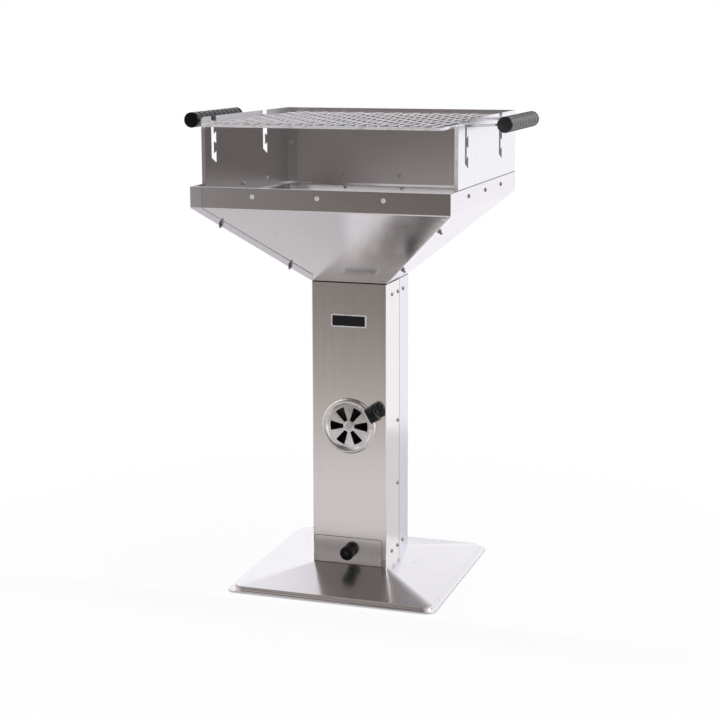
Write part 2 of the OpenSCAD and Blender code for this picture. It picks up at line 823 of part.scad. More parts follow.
// A round wire along a level path, with a bend of one radius at every inner point
function turn_at(p, i) =
    let (a = along(p, i - 1), b = along(p, i))
    atan2(a[0] * b[1] - a[1] * b[0], a * b);
function bend_cut(p, i, bend) = i == 0 || i == len(p) - 1 ? 0 : bend * tan(turn_at(p, i) / 2);
module wire(p, bend, r) {
    for (i = [0 : len(p) - 2]) {
        v = along(p, i);
        translate([p[i][0], p[i][1], 0])
            rotate(atan2(v[1], v[0]))
                rod_x(bend_cut(p, i, bend), norm(p[i + 1] - p[i]) - bend_cut(p, i + 1, bend), 0, 0, r);
    }
    for (i = [1 : len(p) - 2]) {
        v = along(p, i - 1);
        translate([p[i][0], p[i][1], 0])
            rotate(atan2(v[1], v[0]))
                translate([-bend_cut(p, i, bend), bend, 0])
                    rotate(-90 - bend_lap_deg)
                        rotate_extrude(angle = turn_at(p, i) + 2 * bend_lap_deg)
                            translate([bend, 0]) circle(r + bend_swell);
    }
}
// A handle's own plane starts at the frame's rod and rises to the grip
module at_handle() translate([frame_x, 0, grid_z]) rotate([0, -handle_tilt, 0]) children();
handle_out = norm([grip_x - frame_x, grip_rise]);
elbow_x = half_w + elbow_out - frame_x;
core_half = grip_l / 2 - core_inset;
handle_path = [
    [0, -arm_y], [elbow_x, -arm_y], [handle_out, grip_shift - core_half],
    [handle_out, grip_shift + core_half], [elbow_x, arm_y], [0, arm_y]
];
module handle_wire() {
    difference() {
        at_handle() wire(handle_path, arm_bend_r, arm_r);
        rod_y(-frame_y, frame_y, frame_x, grid_z, frame_r);
    }
}
module handle_wire_right() color("silver") handle_wire();
module handle_wire_left() color("silver") mirror([1, 0, 0]) handle_wire();
module grip() {
    body_half = grip_l / 2 - grip_cap_l;
    at_handle()
        difference() {
            rod_y(grip_shift - body_half, grip_shift + body_half, handle_out, 0, grip_d / 2);
            wire(handle_path, arm_bend_r, arm_r + thread_clear);
        }
}
module grip_right() color("black") grip();
module grip_left() color("black") mirror([1, 0, 0]) grip();
module grip_cap() {
    rim = grip_cap_l / 2;
    cylinder(h = rim, r = grip_d / 2);
    translate([0, 0, rim]) cylinder(h = rim, r1 = grip_d / 2, r2 = grip_d / 2 - rim);
}
module grip_caps() {
    color("dimgray")
        two_sides() at_handle() {
            translate([handle_out, grip_shift + grip_l / 2 - grip_cap_l, 0]) rotate([-90, 0, 0]) grip_cap();
            translate([handle_out, grip_shift - grip_l / 2 + grip_cap_l, 0]) rotate([90, 0, 0]) grip_cap();
        }
}

grate_z = neck_z + grate_up;
module charcoal_grate() {
    x = edge_at(half_w, grate_z) - level_t(half_w) - run_gap;
    y = edge_at(half_d, grate_z) - level_t(half_d) - run_gap;
    slots = floor((2 * (x - grate_border) - grate_slot_w) / grate_slot_pitch);
    color("dimgray")
        difference() {
            box_between([-x, -y, grate_z], [x, y, grate_z + grate_t]);
            two_ends()
                for (i = [0 : slots]) {
                    slot_x = (i - slots / 2) * grate_slot_pitch;
                    box_between([slot_x - grate_slot_w / 2, grate_border / 2, grate_z - cut],
                                [slot_x + grate_slot_w / 2, y - grate_border, grate_z + grate_t + cut]);
                }
        }
}

base_plate();
base_collar();
column_front();
column_rear();
column_bolts();
column_nuts();
top_collar();
drawer_runners();
ash_drawer();
drawer_knob();
drawer_screw();
vent_dial();
vent_rivet();
vent_knob();
vent_screw();
name_plate_frame();
name_plate_face();
bowl_left();
bowl_right();
bowl_front();
bowl_rear();
bowl_bolts();
bowl_nuts();
rim_bolts();
rim_nuts();
guard_left();
guard_right();
guard_rear();
guard_bolts();
guard_nuts();
grid_frame();
grid_long_wires();
grid_cross_wires();
handle_wire_left();
handle_wire_right();
grip_left();
grip_right();
grip_caps();
charcoal_grate();
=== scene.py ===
"""Looks of a free-standing charcoal barbecue of folded stainless sheet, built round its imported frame."""

import json
import logging
import math
from dataclasses import dataclass
from enum import Enum, IntEnum
from typing import Callable, Iterable, Sequence

import bmesh
import bpy
from mathutils import Matrix, Vector

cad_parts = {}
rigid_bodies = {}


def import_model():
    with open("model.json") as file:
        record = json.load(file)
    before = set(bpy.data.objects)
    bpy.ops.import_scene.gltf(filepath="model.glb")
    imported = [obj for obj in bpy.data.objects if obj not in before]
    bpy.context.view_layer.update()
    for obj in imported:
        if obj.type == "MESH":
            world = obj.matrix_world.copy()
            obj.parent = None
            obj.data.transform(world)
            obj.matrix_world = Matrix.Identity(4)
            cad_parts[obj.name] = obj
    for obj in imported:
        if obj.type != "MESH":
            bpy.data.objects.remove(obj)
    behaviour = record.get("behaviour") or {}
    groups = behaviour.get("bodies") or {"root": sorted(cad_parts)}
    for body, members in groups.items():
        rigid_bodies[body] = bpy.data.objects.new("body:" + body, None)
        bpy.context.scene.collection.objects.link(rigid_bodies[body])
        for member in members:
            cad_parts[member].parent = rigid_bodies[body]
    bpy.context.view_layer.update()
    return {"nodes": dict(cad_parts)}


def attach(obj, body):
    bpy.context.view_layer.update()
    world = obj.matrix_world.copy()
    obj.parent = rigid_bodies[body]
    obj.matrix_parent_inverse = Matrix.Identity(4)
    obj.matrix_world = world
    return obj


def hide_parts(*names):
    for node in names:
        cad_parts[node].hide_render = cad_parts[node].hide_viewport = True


for leftover in list(bpy.data.objects):
    bpy.data.objects.remove(leftover)
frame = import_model()

LOG = logging.getLogger("barbecue")
Point = Sequence[float]
Colour = tuple[float, float, float]
EDGE = bmesh.types.BMEdge
FACE = bmesh.types.BMFace
VERT = bmesh.types.BMVert
Turned = Callable[[FACE], bool]

MM = 0.001  # metres in a millimetre
SHEET = 1.0  # thickness of the sheets
WIDE = 400.0  # area from which a face sets the shading at its edges
CUT_ANGLE = 50.0  # degrees from which an edge of a thin wall is a cut edge, not a fold
BURR = 0.25  # rounding of the sheets' cut edges
# painted shadow line along the lap of two sheets
PAINTED_LAP_SHADOW: Colour = (0.05, 0.048, 0.05)
# painted shade on bolts far out at the sides
PAINTED_SIDE_SHADE: Colour = (0.16, 0.15, 0.15)
# bright steel above the height where the painted inside shade stops
UNSHADED_STEEL: Colour = (0.94, 0.93, 0.96)
WHITE: Colour = (1.0, 1.0, 1.0)
HANDS = (("right", Matrix.Identity(4)), ("left", Matrix.Scale(-1, 4, (1, 0, 0))))


class Grain(Enum):
    """The direction that a sheet was brushed in."""

    X = (3.0, 700.0, 700.0)
    Y = (700.0, 3.0, 700.0)
    Z = (700.0, 700.0, 3.0)


class Side(Enum):
    """A side of the barbecue, as the turn about Z that brings the right side there."""

    RIGHT = 0
    REAR = 1
    LEFT = 2
    FRONT = 3


class Skin(IntEnum):
    """Which of a piece's finishes a face takes."""

    OUTER = 0
    CUT = 1
    # faces that take a painted shade
    INNER = 2
    # faces that take a painted highlight
    PAINTED_HIGHLIGHT = 3


class Value:
    """A number socket that Python's arithmetic turns into Math nodes."""

    def __init__(self, board: "Board", socket: bpy.types.NodeSocket) -> None:
        """Keep the socket and the board that it is on."""
        self.board = board
        self.socket = socket

    def math(self, operation: str, *others: "Value | float") -> "Value":
        """Add one Math node.

        Args:
            operation: The Math node's operation.
            others: What goes into its sockets after this value.

        Returns:
            The node's result.
        """
        inputs = dict(enumerate((self, *others)))
        return self.board.node("ShaderNodeMath", {"operation": operation}, inputs)

    def __add__(self, other: "Value | float") -> "Value":
        """Sum."""
        return self.math("ADD", other)

    __radd__ = __add__

    def __mul__(self, other: "Value | float") -> "Value":
        """Product."""
        return self.math("MULTIPLY", other)

    __rmul__ = __mul__

    def __sub__(self, other: "Value | float") -> "Value":
        """Difference."""
        return self.math("SUBTRACT", other)

    def __rsub__(self, other: float) -> "Value":
        """Difference from a plain number."""
        return self * -1.0 + other

    def most(self, other: "Value | float") -> "Value":
        """The larger of two values."""
        return self.math("MAXIMUM", other)

    def step(self, low: float, high: float) -> "Value":
        """A smooth step from 0 at low to 1 at high."""
        return self.board.node("ShaderNodeMapRange", {"interpolation_type": "SMOOTHSTEP"},
                               {"Value": self, "From Min": low, "From Max": high})


class Board:
    """The node tree of one material or of the world."""

    def __init__(self, tree: bpy.types.NodeTree) -> None:
        """Start from an empty tree."""
        self.tree = tree
        tree.nodes.clear()

    def node(self, kind: str, settings: dict | None = None, inputs: dict | None = None,
             output: int | str = 0) -> Value:
        """Add a node.

        Args:
            kind: The node's type.
            settings: Its own settings, set first.
            inputs: Values or links by socket name or number.
            output: The socket to return.

        Returns:
            The chosen output.
        """
        made = self.tree.nodes.new(kind)
        for key, value in (settings or {}).items():
            setattr(made, key, value)
        for key, value in (inputs or {}).items():
            socket = made.inputs[key]
            if isinstance(value, Value):
                self.tree.links.new(value.socket, socket)
            elif isinstance(value, tuple) and socket.type == "RGBA" and len(value) == 3:
                socket.default_value = (*value, 1.0)
            else:
                socket.default_value = value
        return Value(self, made.outputs[output])

    def end(self, kind: str, surface: Value) -> None:
        """Lead a shader to the tree's output node."""
        made = self.tree.nodes.new(kind)
        self.tree.links.new(surface.socket, made.inputs["Surface"])

    def surface(self, inputs: dict) -> None:
        """End a material in one Principled shader with these inputs."""
        self.end("ShaderNodeOutputMaterial", self.node("ShaderNodeBsdfPrincipled", {}, inputs))

    def mix(self, share: Value | float, first: Value | Colour, second: Value | Colour) -> Value:
        """Blend two colours by a share of the second."""
        return self.node("ShaderNodeMix", {"data_type": "RGBA"}, {0: share, 6: first, 7: second}, 2)

    def place(self, scale: Point = (1.0, 1.0, 1.0), turn: Point = (0.0, 0.0, 0.0)) -> Value:
        """The object's own coordinates, scaled and turned."""
        coords = self.node("ShaderNodeTexCoord", output="Object")
        return self.node("ShaderNodeMapping", {},
                         {"Vector": coords, "Scale": tuple(scale), "Rotation": tuple(turn)})

    def axis(self, name: str, source: str = "Object") -> Value:
        """One of the object's own coordinates, or of another source."""
        coords = self.node("ShaderNodeTexCoord", output=source)
        return self.node("ShaderNodeSeparateXYZ", {}, {0: coords}, name)

    def noise(self, place: Value, scale: float, detail: float = 3.0, rough: float = 0.55) -> Value:
        """A noise of 0 to 1."""
        return self.node("ShaderNodeTexNoise", {}, {"Vector": place, "Scale": scale, "Detail": detail,
                                                    "Roughness": rough}, "Fac")

    def bump(self, height: Value, strength: float, distance: float) -> Value:
        """A normal from a height."""
        return self.node("ShaderNodeBump", {}, {"Height": height, "Strength": strength, "Distance": distance})


def new_material(name: str) -> tuple[bpy.types.Material, Board]:
    """Make an empty material.

    Args:
        name: The material's name.

    Returns:
        The material and the board of its nodes.
    """
    material = bpy.data.materials.new(name)
    material.use_nodes = True
    return material, Board(material.node_tree)


@dataclass(frozen=True)
class SheetSteel:
    """Stainless sheet with a fine brushed grain, faint clouds, smudges and stray scratches; optionally a
    painted shadow line along a lap, and bright steel above a height where a painted shade stops.
    """

    name: str
    tint: Colour = (0.86, 0.85, 0.86)
    rough: float = 0.24
    grain: Grain = Grain.Z
    wave: float = 0.2
    smudge: float = 0.07
    shadow_line_axis: str = "Z"
    shadow_line_at: float | None = None
    shadow_line_half: float = 0.0011
    shade_top_z: float | None = None

    def material(self) -> bpy.types.Material:
        """Build the finish.

        Returns:
            The material.
        """
        material, board = new_material(self.name)
        streak = board.noise(board.place(self.grain.value), 1.0, 5.0, 0.65)
        cloud = board.noise(board.place(), 7.0, 3.0)
        scratch = board.noise(board.place((900.0, 14.0, 60.0), (0.5, 0.9, 0.4)), 1.0, 2.0).step(0.70, 0.76)
        stain = board.noise(board.place((1.0, 1.0, 0.6)), 26.0, 5.0, 0.7).step(0.60, 0.78)
        dull = tuple(0.95 * part for part in self.tint)
        touched = (0.60 * self.tint[0], 0.54 * self.tint[1], 0.47 * self.tint[2])
        brushed = board.mix(streak.step(0.35, 0.65), dull, self.tint)
        colour = board.mix(stain * self.smudge * 2.0, brushed, touched)
        # painted shadow line: dark in a narrow band along one coordinate, where one sheet laps another
        if self.shadow_line_at is not None:
            off = (board.axis(self.shadow_line_axis) - self.shadow_line_at).math("ABSOLUTE")
            colour = board.mix(off.step(self.shadow_line_half * 0.6, self.shadow_line_half), PAINTED_LAP_SHADOW, colour)
        # above this height the colour turns to bright steel, where the painted shade stops
        if self.shade_top_z is not None:
            high = board.axis("Z").step(self.shade_top_z - 0.003, self.shade_top_z + 0.003)
            colour = board.mix(high, colour, UNSHADED_STEEL)
        rough = streak * 0.06 + cloud * 0.08 + stain * 0.08 + scratch * 0.02 + (self.rough - 0.07)
        height = streak * 0.02 + cloud * self.wave - scratch * 0.003
        board.surface({"Base Color": colour, "Metallic": 1.0, "Roughness": rough,
                       "Normal": board.bump(height, 0.35, 0.0012)})
        return material


@dataclass(frozen=True)
class BrightSteel:
    """Drawn wire and small turned steel pieces, bright with a little patchy dirt and, where a limit is set, a
    painted shade on what lies farther out along X.
    """

    name: str
    tint: Colour = (0.88, 0.87, 0.87)
    rough: float = 0.2
    metal: float = 1.0
    side_shade_from: float | None = None

    def material(self) -> bpy.types.Material:
        """Build the finish.

        Returns:
            The material.
        """
        material, board = new_material(self.name)
        fleck = board.noise(board.place(), 900.0, 2.0)
        stain = board.noise(board.place(), 60.0, 3.0)
        dull = tuple(0.72 * part for part in self.tint)
        colour = board.mix(stain.step(0.45, 0.75), self.tint, dull)
        # painted shade on whatever lies farther out along X than the limit
        if self.side_shade_from is not None:
            out = board.axis("X").math("ABSOLUTE")
            colour = board.mix(out.step(self.side_shade_from - 0.0004, self.side_shade_from), colour, PAINTED_SIDE_SHADE)
        rough = stain * 0.16 + (self.rough - 0.06)
        board.surface({"Base Color": colour, "Metallic": self.metal, "Roughness": rough,
                       "Normal": board.bump(fleck, 0.15, 0.0002)})
        return material


@dataclass(frozen=True)
class BlackPlastic:
    """Moulded black plastic with a fine moulded skin and rubbed spots."""

    name: str
    tint: Colour = (0.007, 0.007, 0.008)
    rough: float = 0.24
    shine: float = 0.5

    def material(self) -> bpy.types.Material:
        """Build the finish.

        Returns:
            The material.
        """
        material, board = new_material(self.name)
        skin = board.noise(board.place(), 1600.0, 3.0)
        rub = board.noise(board.place(), 45.0, 4.0)
        pale = tuple(2.2 * part for part in self.tint)
        colour = board.mix(rub.step(0.5, 0.8), self.tint, pale)
        board.surface({"Base Color": colour, "Roughness": rub * 0.14 + (self.rough - 0.07),
                       "Specular IOR Level": self.shine, "Normal": board.bump(skin, 0.2, 0.0002)})
        return material


@dataclass(frozen=True)
class GrateSteel:
    """Thicker steel that the fire has browned."""

    name: str

    def material(self) -> bpy.types.Material:
        """Build the finish.

        Returns:
            The material.
        """
        material, board = new_material(self.name)
        heat = board.noise(board.place(), 14.0, 4.0)
        grit = board.noise(board.place(), 400.0, 3.0)
        colour = board.mix(heat.step(0.35, 0.65), (0.30, 0.28, 0.27), (0.16, 0.13, 0.11))
        board.surface({"Base Color": colour, "Metallic": 0.9, "Roughness": heat * 0.2 + 0.35,
                       "Normal": board.bump(grit, 0.3, 0.0003)})
        return material


def middle(edge: EDGE) -> tuple[float, ...]:
    """An edge's middle, rounded so that it can be looked up."""
    return tuple(round(c, 2) for c in (edge.verts[0].co + edge.verts[1].co) / 2)


def only(kind: type, geom: Iterable[object]) -> list:
    """What is of one kind in an operator's result."""
    return [thing for thing in geom if isinstance(thing, kind)]


def new_object(name: str, data: bpy.types.ID) -> bpy.types.Object:
    """Make an object and put it in the scene.

    Args:
        name: The object's name.
        data: Its mesh, camera or lamp.

    Returns:
        The object.
    """
    made = bpy.data.objects.new(name, data)
    bpy.context.scene.collection.objects.link(made)
    return made


class Shaper:
    """A mesh in the making, in millimetres, shaped by bmesh's own operators."""

    def __init__(self) -> None:
        """Start empty."""
        self.bm = bmesh.new()

    def polygon(self, points: Iterable[Point]) -> FACE:
        """Add one flat face through a few points."""
        return self.bm.faces.new([self.bm.verts.new(p) for p in points])

    def face_out(self) -> None:
        """Turn every face outwards."""
        bmesh.ops.recalc_face_normals(self.bm, faces=self.bm.faces[:])

    def aim(self, face: FACE, way: Point) -> None:
        """Turn the whole mesh over if one of its faces looks against a direction."""
        if face.normal.dot(Vector(way)) < 0:
            bmesh.ops.reverse_faces(self.bm, faces=self.bm.faces[:])

    def largest(self) -> FACE:
        """The face with the largest area."""
        return max(self.bm.faces, key=lambda f: f.calc_area())

    def pull(self, edges: Iterable[EDGE], matrix: Matrix) -> list[EDGE]:
        """Extrude edges into a skin.

        Args:
            edges: The edges to start from.
            matrix: How their copies are moved.

        Returns:
            The copies.
        """
        made = bmesh.ops.extrude_edge_only(self.bm, edges=list(edges))["geom"]
        verts = only(VERT, made)
        bmesh.ops.transform(self.bm, matrix=matrix, verts=verts)
        return [edge for edge in only(EDGE, made) if all(v in verts for v in edge.verts)]

    def prism(self, outline: Iterable[Point], move: Point) -> None:
        """Add a solid with a flat outline.

        Args:
            outline: The outline's corners.
            move: How far it is pulled out.
        """
        face = self.polygon(outline)
        made = bmesh.ops.extrude_face_region(self.bm, geom=[face], use_keep_orig=True)["geom"]
        bmesh.ops.translate(self.bm, vec=Vector(move), verts=only(VERT, made))
        self.face_out()

    def slab(self, x: Point, z: Point, y: float, depth: float) -> None:
        """Add an upright block.

        Args:
            x: Its left and right ends.
            z: Its lowest and highest levels.
            y: Where it starts.
            depth: How far it goes along Y from there.
        """
        self.prism([(x[0], y, z[0]), (x[1], y, z[0]), (x[1], y, z[1]), (x[0], y, z[1])], (0.0, depth, 0.0))

    def bevel(self, edges: Sequence[EDGE], offset: float, segments: int = 2) -> None:
        """Round edges.

        Args:
            edges: The edges.
            offset: The width of the rounding.
            segments: Its steps.
        """
        bmesh.ops.bevel(self.bm, geom=list(edges), offset=offset, offset_type="OFFSET", segments=segments,
                        profile=0.5, affect="EDGES", material=-1, clamp_overlap=True)

    def folds(self, least: float = 15.0) -> list[EDGE]:
        """Edges where two faces meet at more than an angle in degrees."""
        return [e for e in self.bm.edges
                if len(e.link_faces) == 2 and e.calc_face_angle() > math.radians(least)]

    def top_corners(self, top: float, across: int = 0) -> list[EDGE]:
        """Edges at the top that don't run along an axis."""
        return [e for e in self.bm.edges if all(v.co.z > top - 1.0 for v in e.verts)
                and abs(e.verts[0].co[across] - e.verts[1].co[across]) < 0.1]

    def blunt(self, offset: float = BURR) -> None:
        """Take the sharpness off the cut edges."""
        self.bevel(self.folds(CUT_ANGLE), offset)

    def thicken(self, thickness: float = SHEET, turned: bool = False) -> None:
        """Give a skin a wall behind its faces and mark the sheet's cut edges.

        Args:
            thickness: The wall.
            turned: Whether the skin's normals are worked out first.
        """
        if turned:
            self.face_out()
        rims = {middle(e): e.link_faces[0].normal.copy() for e in self.bm.edges if e.is_boundary}
        bmesh.ops.solidify(self.bm, geom=self.bm.faces[:], thickness=thickness)
        self.face_out()
        for edge in self.bm.edges:
            skin = rims.get(middle(edge))
            for face in edge.link_faces if skin else ():
                if abs(face.normal.dot(skin)) < 0.5:
                    face.material_index = Skin.CUT

    def lathe(self, profile: Iterable[tuple[float, float]], steps: int = 48) -> None:
        """Turn a profile about Z.

        Args:
            profile: Radius and height of its points.
            steps: The corners of each ring.
        """
        verts = [self.bm.verts.new((r, 0.0, z)) for r, z in profile]
        edges = [self.bm.edges.new(pair) for pair in zip(verts, verts[1:])]
        bmesh.ops.spin(self.bm, geom=verts + edges, axis=(0.0, 0.0, 1.0), cent=(0.0, 0.0, 0.0), steps=steps,
                       angle=math.tau, use_merge=True)
        bmesh.ops.remove_doubles(self.bm, verts=self.bm.verts[:], dist=0.001)
        self.face_out()

    def sweep(self, path: Sequence[Vector], radius: float, sides: int = 10) -> None:
        """Draw a round bar along a path and close its ends.

        Args:
            path: The points that its middle passes.
            radius: The bar's radius.
            sides: The corners of its section.
        """
        heads = [(b - a).normalized() for a, b in zip(path, path[1:])]
        tangents = [heads[0], *((a + b).normalized() for a, b in zip(heads, heads[1:])), heads[-1]]
        turn = Vector((0.0, 0.0, 1.0)).rotation_difference(tangents[0])
        place = Matrix.Translation(path[0]) @ turn.to_matrix().to_4x4()
        ring = bmesh.ops.create_circle(self.bm, cap_ends=False, radius=radius, segments=sides,
                                       matrix=place)["verts"]
        first = edges = list({e: None for v in ring for e in v.link_edges})
        for i in range(1, len(path)):
            turn = tangents[i - 1].rotation_difference(tangents[i]) @ turn
            there = Matrix.Translation(path[i]) @ turn.to_matrix().to_4x4()
            edges = self.pull(edges, there @ place.inverted())
            place = there
        for loop in (first, edges):
            bmesh.ops.edgeloop_fill(self.bm, edges=loop)
        self.face_out()

    def copies(self, matrices: Iterable[Matrix]) -> None:
        """Put a copy of the whole mesh at each place and drop the first one.

        Args:
            matrices: The places.
        """
        original = self.bm.verts[:] + self.bm.edges[:] + self.bm.faces[:]
        for matrix in matrices:
            made = bmesh.ops.duplicate(self.bm, geom=original)["geom"]
            bmesh.ops.transform(self.bm, matrix=matrix, verts=only(VERT, made))
        bmesh.ops.delete(self.bm, geom=only(VERT, original), context="VERTS")

    def transform(self, matrix: Matrix) -> None:
        """Move, turn or mirror the whole mesh.

        Args:
            matrix: The change.
        """
        bmesh.ops.transform(self.bm, matrix=matrix, verts=self.bm.verts[:])
        if matrix.determinant() < 0:
            bmesh.ops.reverse_faces(self.bm, faces=self.bm.faces[:])

    def add(self, other: "Shaper") -> None:
        """Take in another mesh as separate shells.

        Args:
            other: The other mesh.
        """
        mesh = bpy.data.meshes.new("part")
        other.bm.to_mesh(mesh)
        self.bm.from_mesh(mesh)
        bpy.data.meshes.remove(mesh)

    def cut(self, cutter: "Shaper", flat: float = 0.5) -> None:
        """Take another solid out of this one with the Boolean modifier.

        Args:
            cutter: The solid to take out.
            flat: The angle in degrees up to which faces are joined again.
        """
        objects = []
        for shaper in (self, cutter):
            mesh = bpy.data.meshes.new("cut")
            shaper.bm.to_mesh(mesh)
            objects.append(new_object("cut", mesh))
        modifier = objects[0].modifiers.new("cut", "BOOLEAN")
        modifier.operation = "DIFFERENCE"
        modifier.solver = "EXACT"
        modifier.object = objects[1]
        depsgraph = bpy.context.evaluated_depsgraph_get()
        made = bpy.data.meshes.new_from_object(objects[0].evaluated_get(depsgraph))
        self.bm.clear()
        self.bm.from_mesh(made)
        for thing in objects:
            bpy.data.objects.remove(thing)
        bmesh.ops.dissolve_limit(self.bm, angle_limit=math.radians(flat), use_dissolve_boundaries=False,
                                 verts=self.bm.verts[:], edges=self.bm.edges[:])

    def piece(self, name: str, finish: bpy.types.Material, body: str, slot: str, nodes: Sequence[str] = (),
              sharp: float = 35.0, cut: bpy.types.Material | None = None,
              inner: bpy.types.Material | None = None, turned_in: Turned | None = None,
              painted_highlight: bpy.types.Material | None = None, weigh: bool = True) -> bpy.types.Object:
        """Finish the mesh as a piece of the barbecue.

        Args:
            name: The piece's name.
            finish: Its material.
            body: The body that it rides on.
            slot: The record's material slot; not used.
            nodes: The nodes that it stands for.
            sharp: The angle in degrees from which an edge stays sharp.
            cut: The finish of the sheet's cut edges.
            inner: The finish of the faces that turned_in picks, a painted shade.
            turned_in: Picks the faces that take the painted shade: those that look into the fire's room, or
                the base's front riser.
            hem: The finish of the faces that are already marked as a painted highlight.
            weigh: Whether the wide faces set the shading at their edges.

        Returns:
            The new object.
        """
        for edge in self.folds(2.0):
            if min(face.calc_area() for face in edge.link_faces) > WIDE:
                edge.smooth = False
        # faces that turned_in picks take the inner finish, a painted shade
        if turned_in:
            for face in self.bm.faces:
                if turned_in(face) and face.material_index == Skin.OUTER:
                    face.material_index = Skin.INNER
        bmesh.ops.scale(self.bm, vec=(MM, MM, MM), verts=self.bm.verts[:])
        mesh = bpy.data.meshes.new(name)
        self.bm.to_mesh(mesh)
        self.bm.free()
        folds = [edge.use_edge_sharp for edge in mesh.edges]
        mesh.shade_smooth()
        mesh.set_sharp_from_angle(angle=math.radians(sharp))
        for edge, fold in zip(mesh.edges, folds):
            edge.use_edge_sharp = edge.use_edge_sharp or fold
        for material in (finish, cut or finish, inner or finish, painted_highlight or finish):
            mesh.materials.append(material)
        made = new_object(name, mesh)
        if weigh:
            modifier = made.modifiers.new("weighted", "WEIGHTED_NORMAL")
            modifier.keep_sharp = True
        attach(made, body)
        if nodes:
            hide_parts(*nodes)
        LOG.info("piece %s: %d faces", name, len(mesh.polygons))
        return made


def turn_z(quarters: float) -> Matrix:
    """A turn about Z by quarter turns."""
    return Matrix.Rotation(quarters * math.pi / 2, 4, "Z")


def rounded(points: Sequence[Point], radius: float, steps: int = 4) -> list[Vector]:
    """Round the inner corners of a path with arcs.

    Args:
        points: The path's corners.
        radius: The radius of each arc.
        steps: The parts of each arc.

    Returns:
        The denser path.
    """
    corners = [Vector(p) for p in points]
    path = [corners[0]]
    for before, here, after in zip(corners, corners[1:], corners[2:]):
        a, b = (before - here).normalized(), (after - here).normalized()
        half = a.angle(b) / 2
        reach = radius / math.tan(half)
        centre = here + (a + b).normalized() * (radius / math.sin(half))
        start, end = here + a * reach - centre, here + b * reach - centre
        for i in range(steps + 1):
            path.append(centre + start.normalized().slerp(end.normalized(), i / steps) * radius)
    path.append(corners[-1])
    return path


class Finishes:
    """Every finish of the barbecue, made once."""

    def __init__(self) -> None:
        """Build the materials."""
        self.column = SheetSteel("column_steel", tint=(0.91, 0.87, 0.85), rough=0.15, wave=0.1).material()
        # a painted shadow line runs along the lap with the front shell
        self.column_side = SheetSteel("shell_steel", tint=(0.84, 0.84, 0.90), shadow_line_axis="Y", shadow_line_at=0.0134,
                                      shadow_line_half=0.0038).material()
        self.bowl = SheetSteel("bowl_steel", tint=(0.90, 0.88, 0.88), grain=Grain.X, rough=0.14, wave=0.12,
                               smudge=0.16).material()
        self.bowl_side = SheetSteel("bowl_side_steel", tint=(0.88, 0.86, 0.89), grain=Grain.Y, rough=0.2,
                                    wave=0.3, smudge=0.16).material()
        # a painted shadow line runs where the guard meets the top edge of the bowl
        self.guard = SheetSteel("guard_steel", tint=(0.90, 0.90, 0.93), shadow_line_at=0.8478,
                                shadow_line_half=0.0009).material()
        # painted shade on the guard's inside faces, with bright steel along their top
        self.guard_inside_shade = SheetSteel("fired_steel", tint=(0.58, 0.55, 0.55), rough=0.30, smudge=0.1,
                                shade_top_z=0.958).material()
        # a lighter painted shade on the rear wall's inside
        self.guard_inside_shade_rear = SheetSteel("fired_rear_steel", tint=(0.72, 0.69, 0.67), rough=0.30,
                                     smudge=0.1).material()
        self.base = SheetSteel("base_steel", tint=(0.93, 0.92, 0.94), grain=Grain.X, rough=0.2, wave=0.3,
                               smudge=0.2).material()
        # painted shade: a darker, browner copy of the base steel for the front-facing riser only
        self.riser = SheetSteel("front_riser_shade_steel", tint=(0.74, 0.68, 0.64), rough=0.3).material()
        # painted shade for parts that sit inside or behind others
        self.inner = SheetSteel("recess_shade_steel", tint=(0.6, 0.59, 0.58), rough=0.32).material()
        self.cut = SheetSteel("cut_edge_steel", tint=(0.22, 0.21, 0.21), rough=0.4).material()
        # near black: painted shadow in the gap between the column and the bowl's neck
        self.painted_gap_shadow = SheetSteel("sooty_steel", tint=(0.03, 0.028, 0.028), rough=0.5).material()
        self.bolt = BrightSteel("bolt_steel", tint=(0.76, 0.75, 0.75), rough=0.4).material()
        # painted shade: a darkened copy of the bolt steel for bolts on the sides
        self.shaded_bolt = BrightSteel("dark_bolt_steel", tint=(0.26, 0.25, 0.25), rough=0.3).material()
        # the rim bolts on the left and right faces take a painted shade
        self.rim_bolt = BrightSteel("rim_bolt_steel", tint=(0.92, 0.91, 0.90), rough=0.45, metal=0.3,
                                    side_shade_from=0.2655).material()
        self.screw = BrightSteel("screw_steel", tint=(0.05, 0.05, 0.05), rough=0.4).material()
        self.trim = BrightSteel("trim_steel", tint=(0.97, 0.97, 0.98), rough=0.4, metal=0.0).material()
        # white and not metal: a painted highlight on folds and edges that catch the light
        self.painted_highlight = BrightSteel("painted_highlight_steel", tint=(1.0, 0.99, 1.0), rough=0.5, metal=0.0).material()
        self.arm = BrightSteel("arm_steel", tint=(0.66, 0.65, 0.66), rough=0.25).material()
        self.wire = BrightSteel("wire_steel", tint=(0.97, 0.96, 0.98), rough=0.35, metal=0.7).material()
        self.cross = BrightSteel("cross_wire_steel", tint=(0.62, 0.61, 0.63), rough=0.35,
                                 metal=0.9).material()
        self.dial = BrightSteel("dial_steel", tint=(0.92, 0.90, 0.88), rough=0.26).material()
        # the grip black and the knob black on the two grips are lit and shaded copies of one plastic: painted
        # sheen on the right grip
        self.black = BlackPlastic("grip_black", rough=0.34, shine=1.0).material()
        self.knob = BlackPlastic("knob_black", shine=0.2).material()
        self.plate = BlackPlastic("plate_black", tint=(0.007, 0.007, 0.011), rough=0.16).material()
        self.grate = GrateSteel("grate_steel").material()

    def dress(self, slot: str, finish: bpy.types.Material, *nodes: str) -> None:
        """Give carried-over nodes a finish.

        Args:
            slot: The record's material slot; not used.
            finish: The material.
            nodes: The nodes' names.
        """
        for name in nodes:
            node = frame["nodes"][name]
            for held in node.material_slots:
                held.material = finish
            if not node.material_slots:
                node.data.materials.append(finish)
            LOG.info("dressed %s", name)


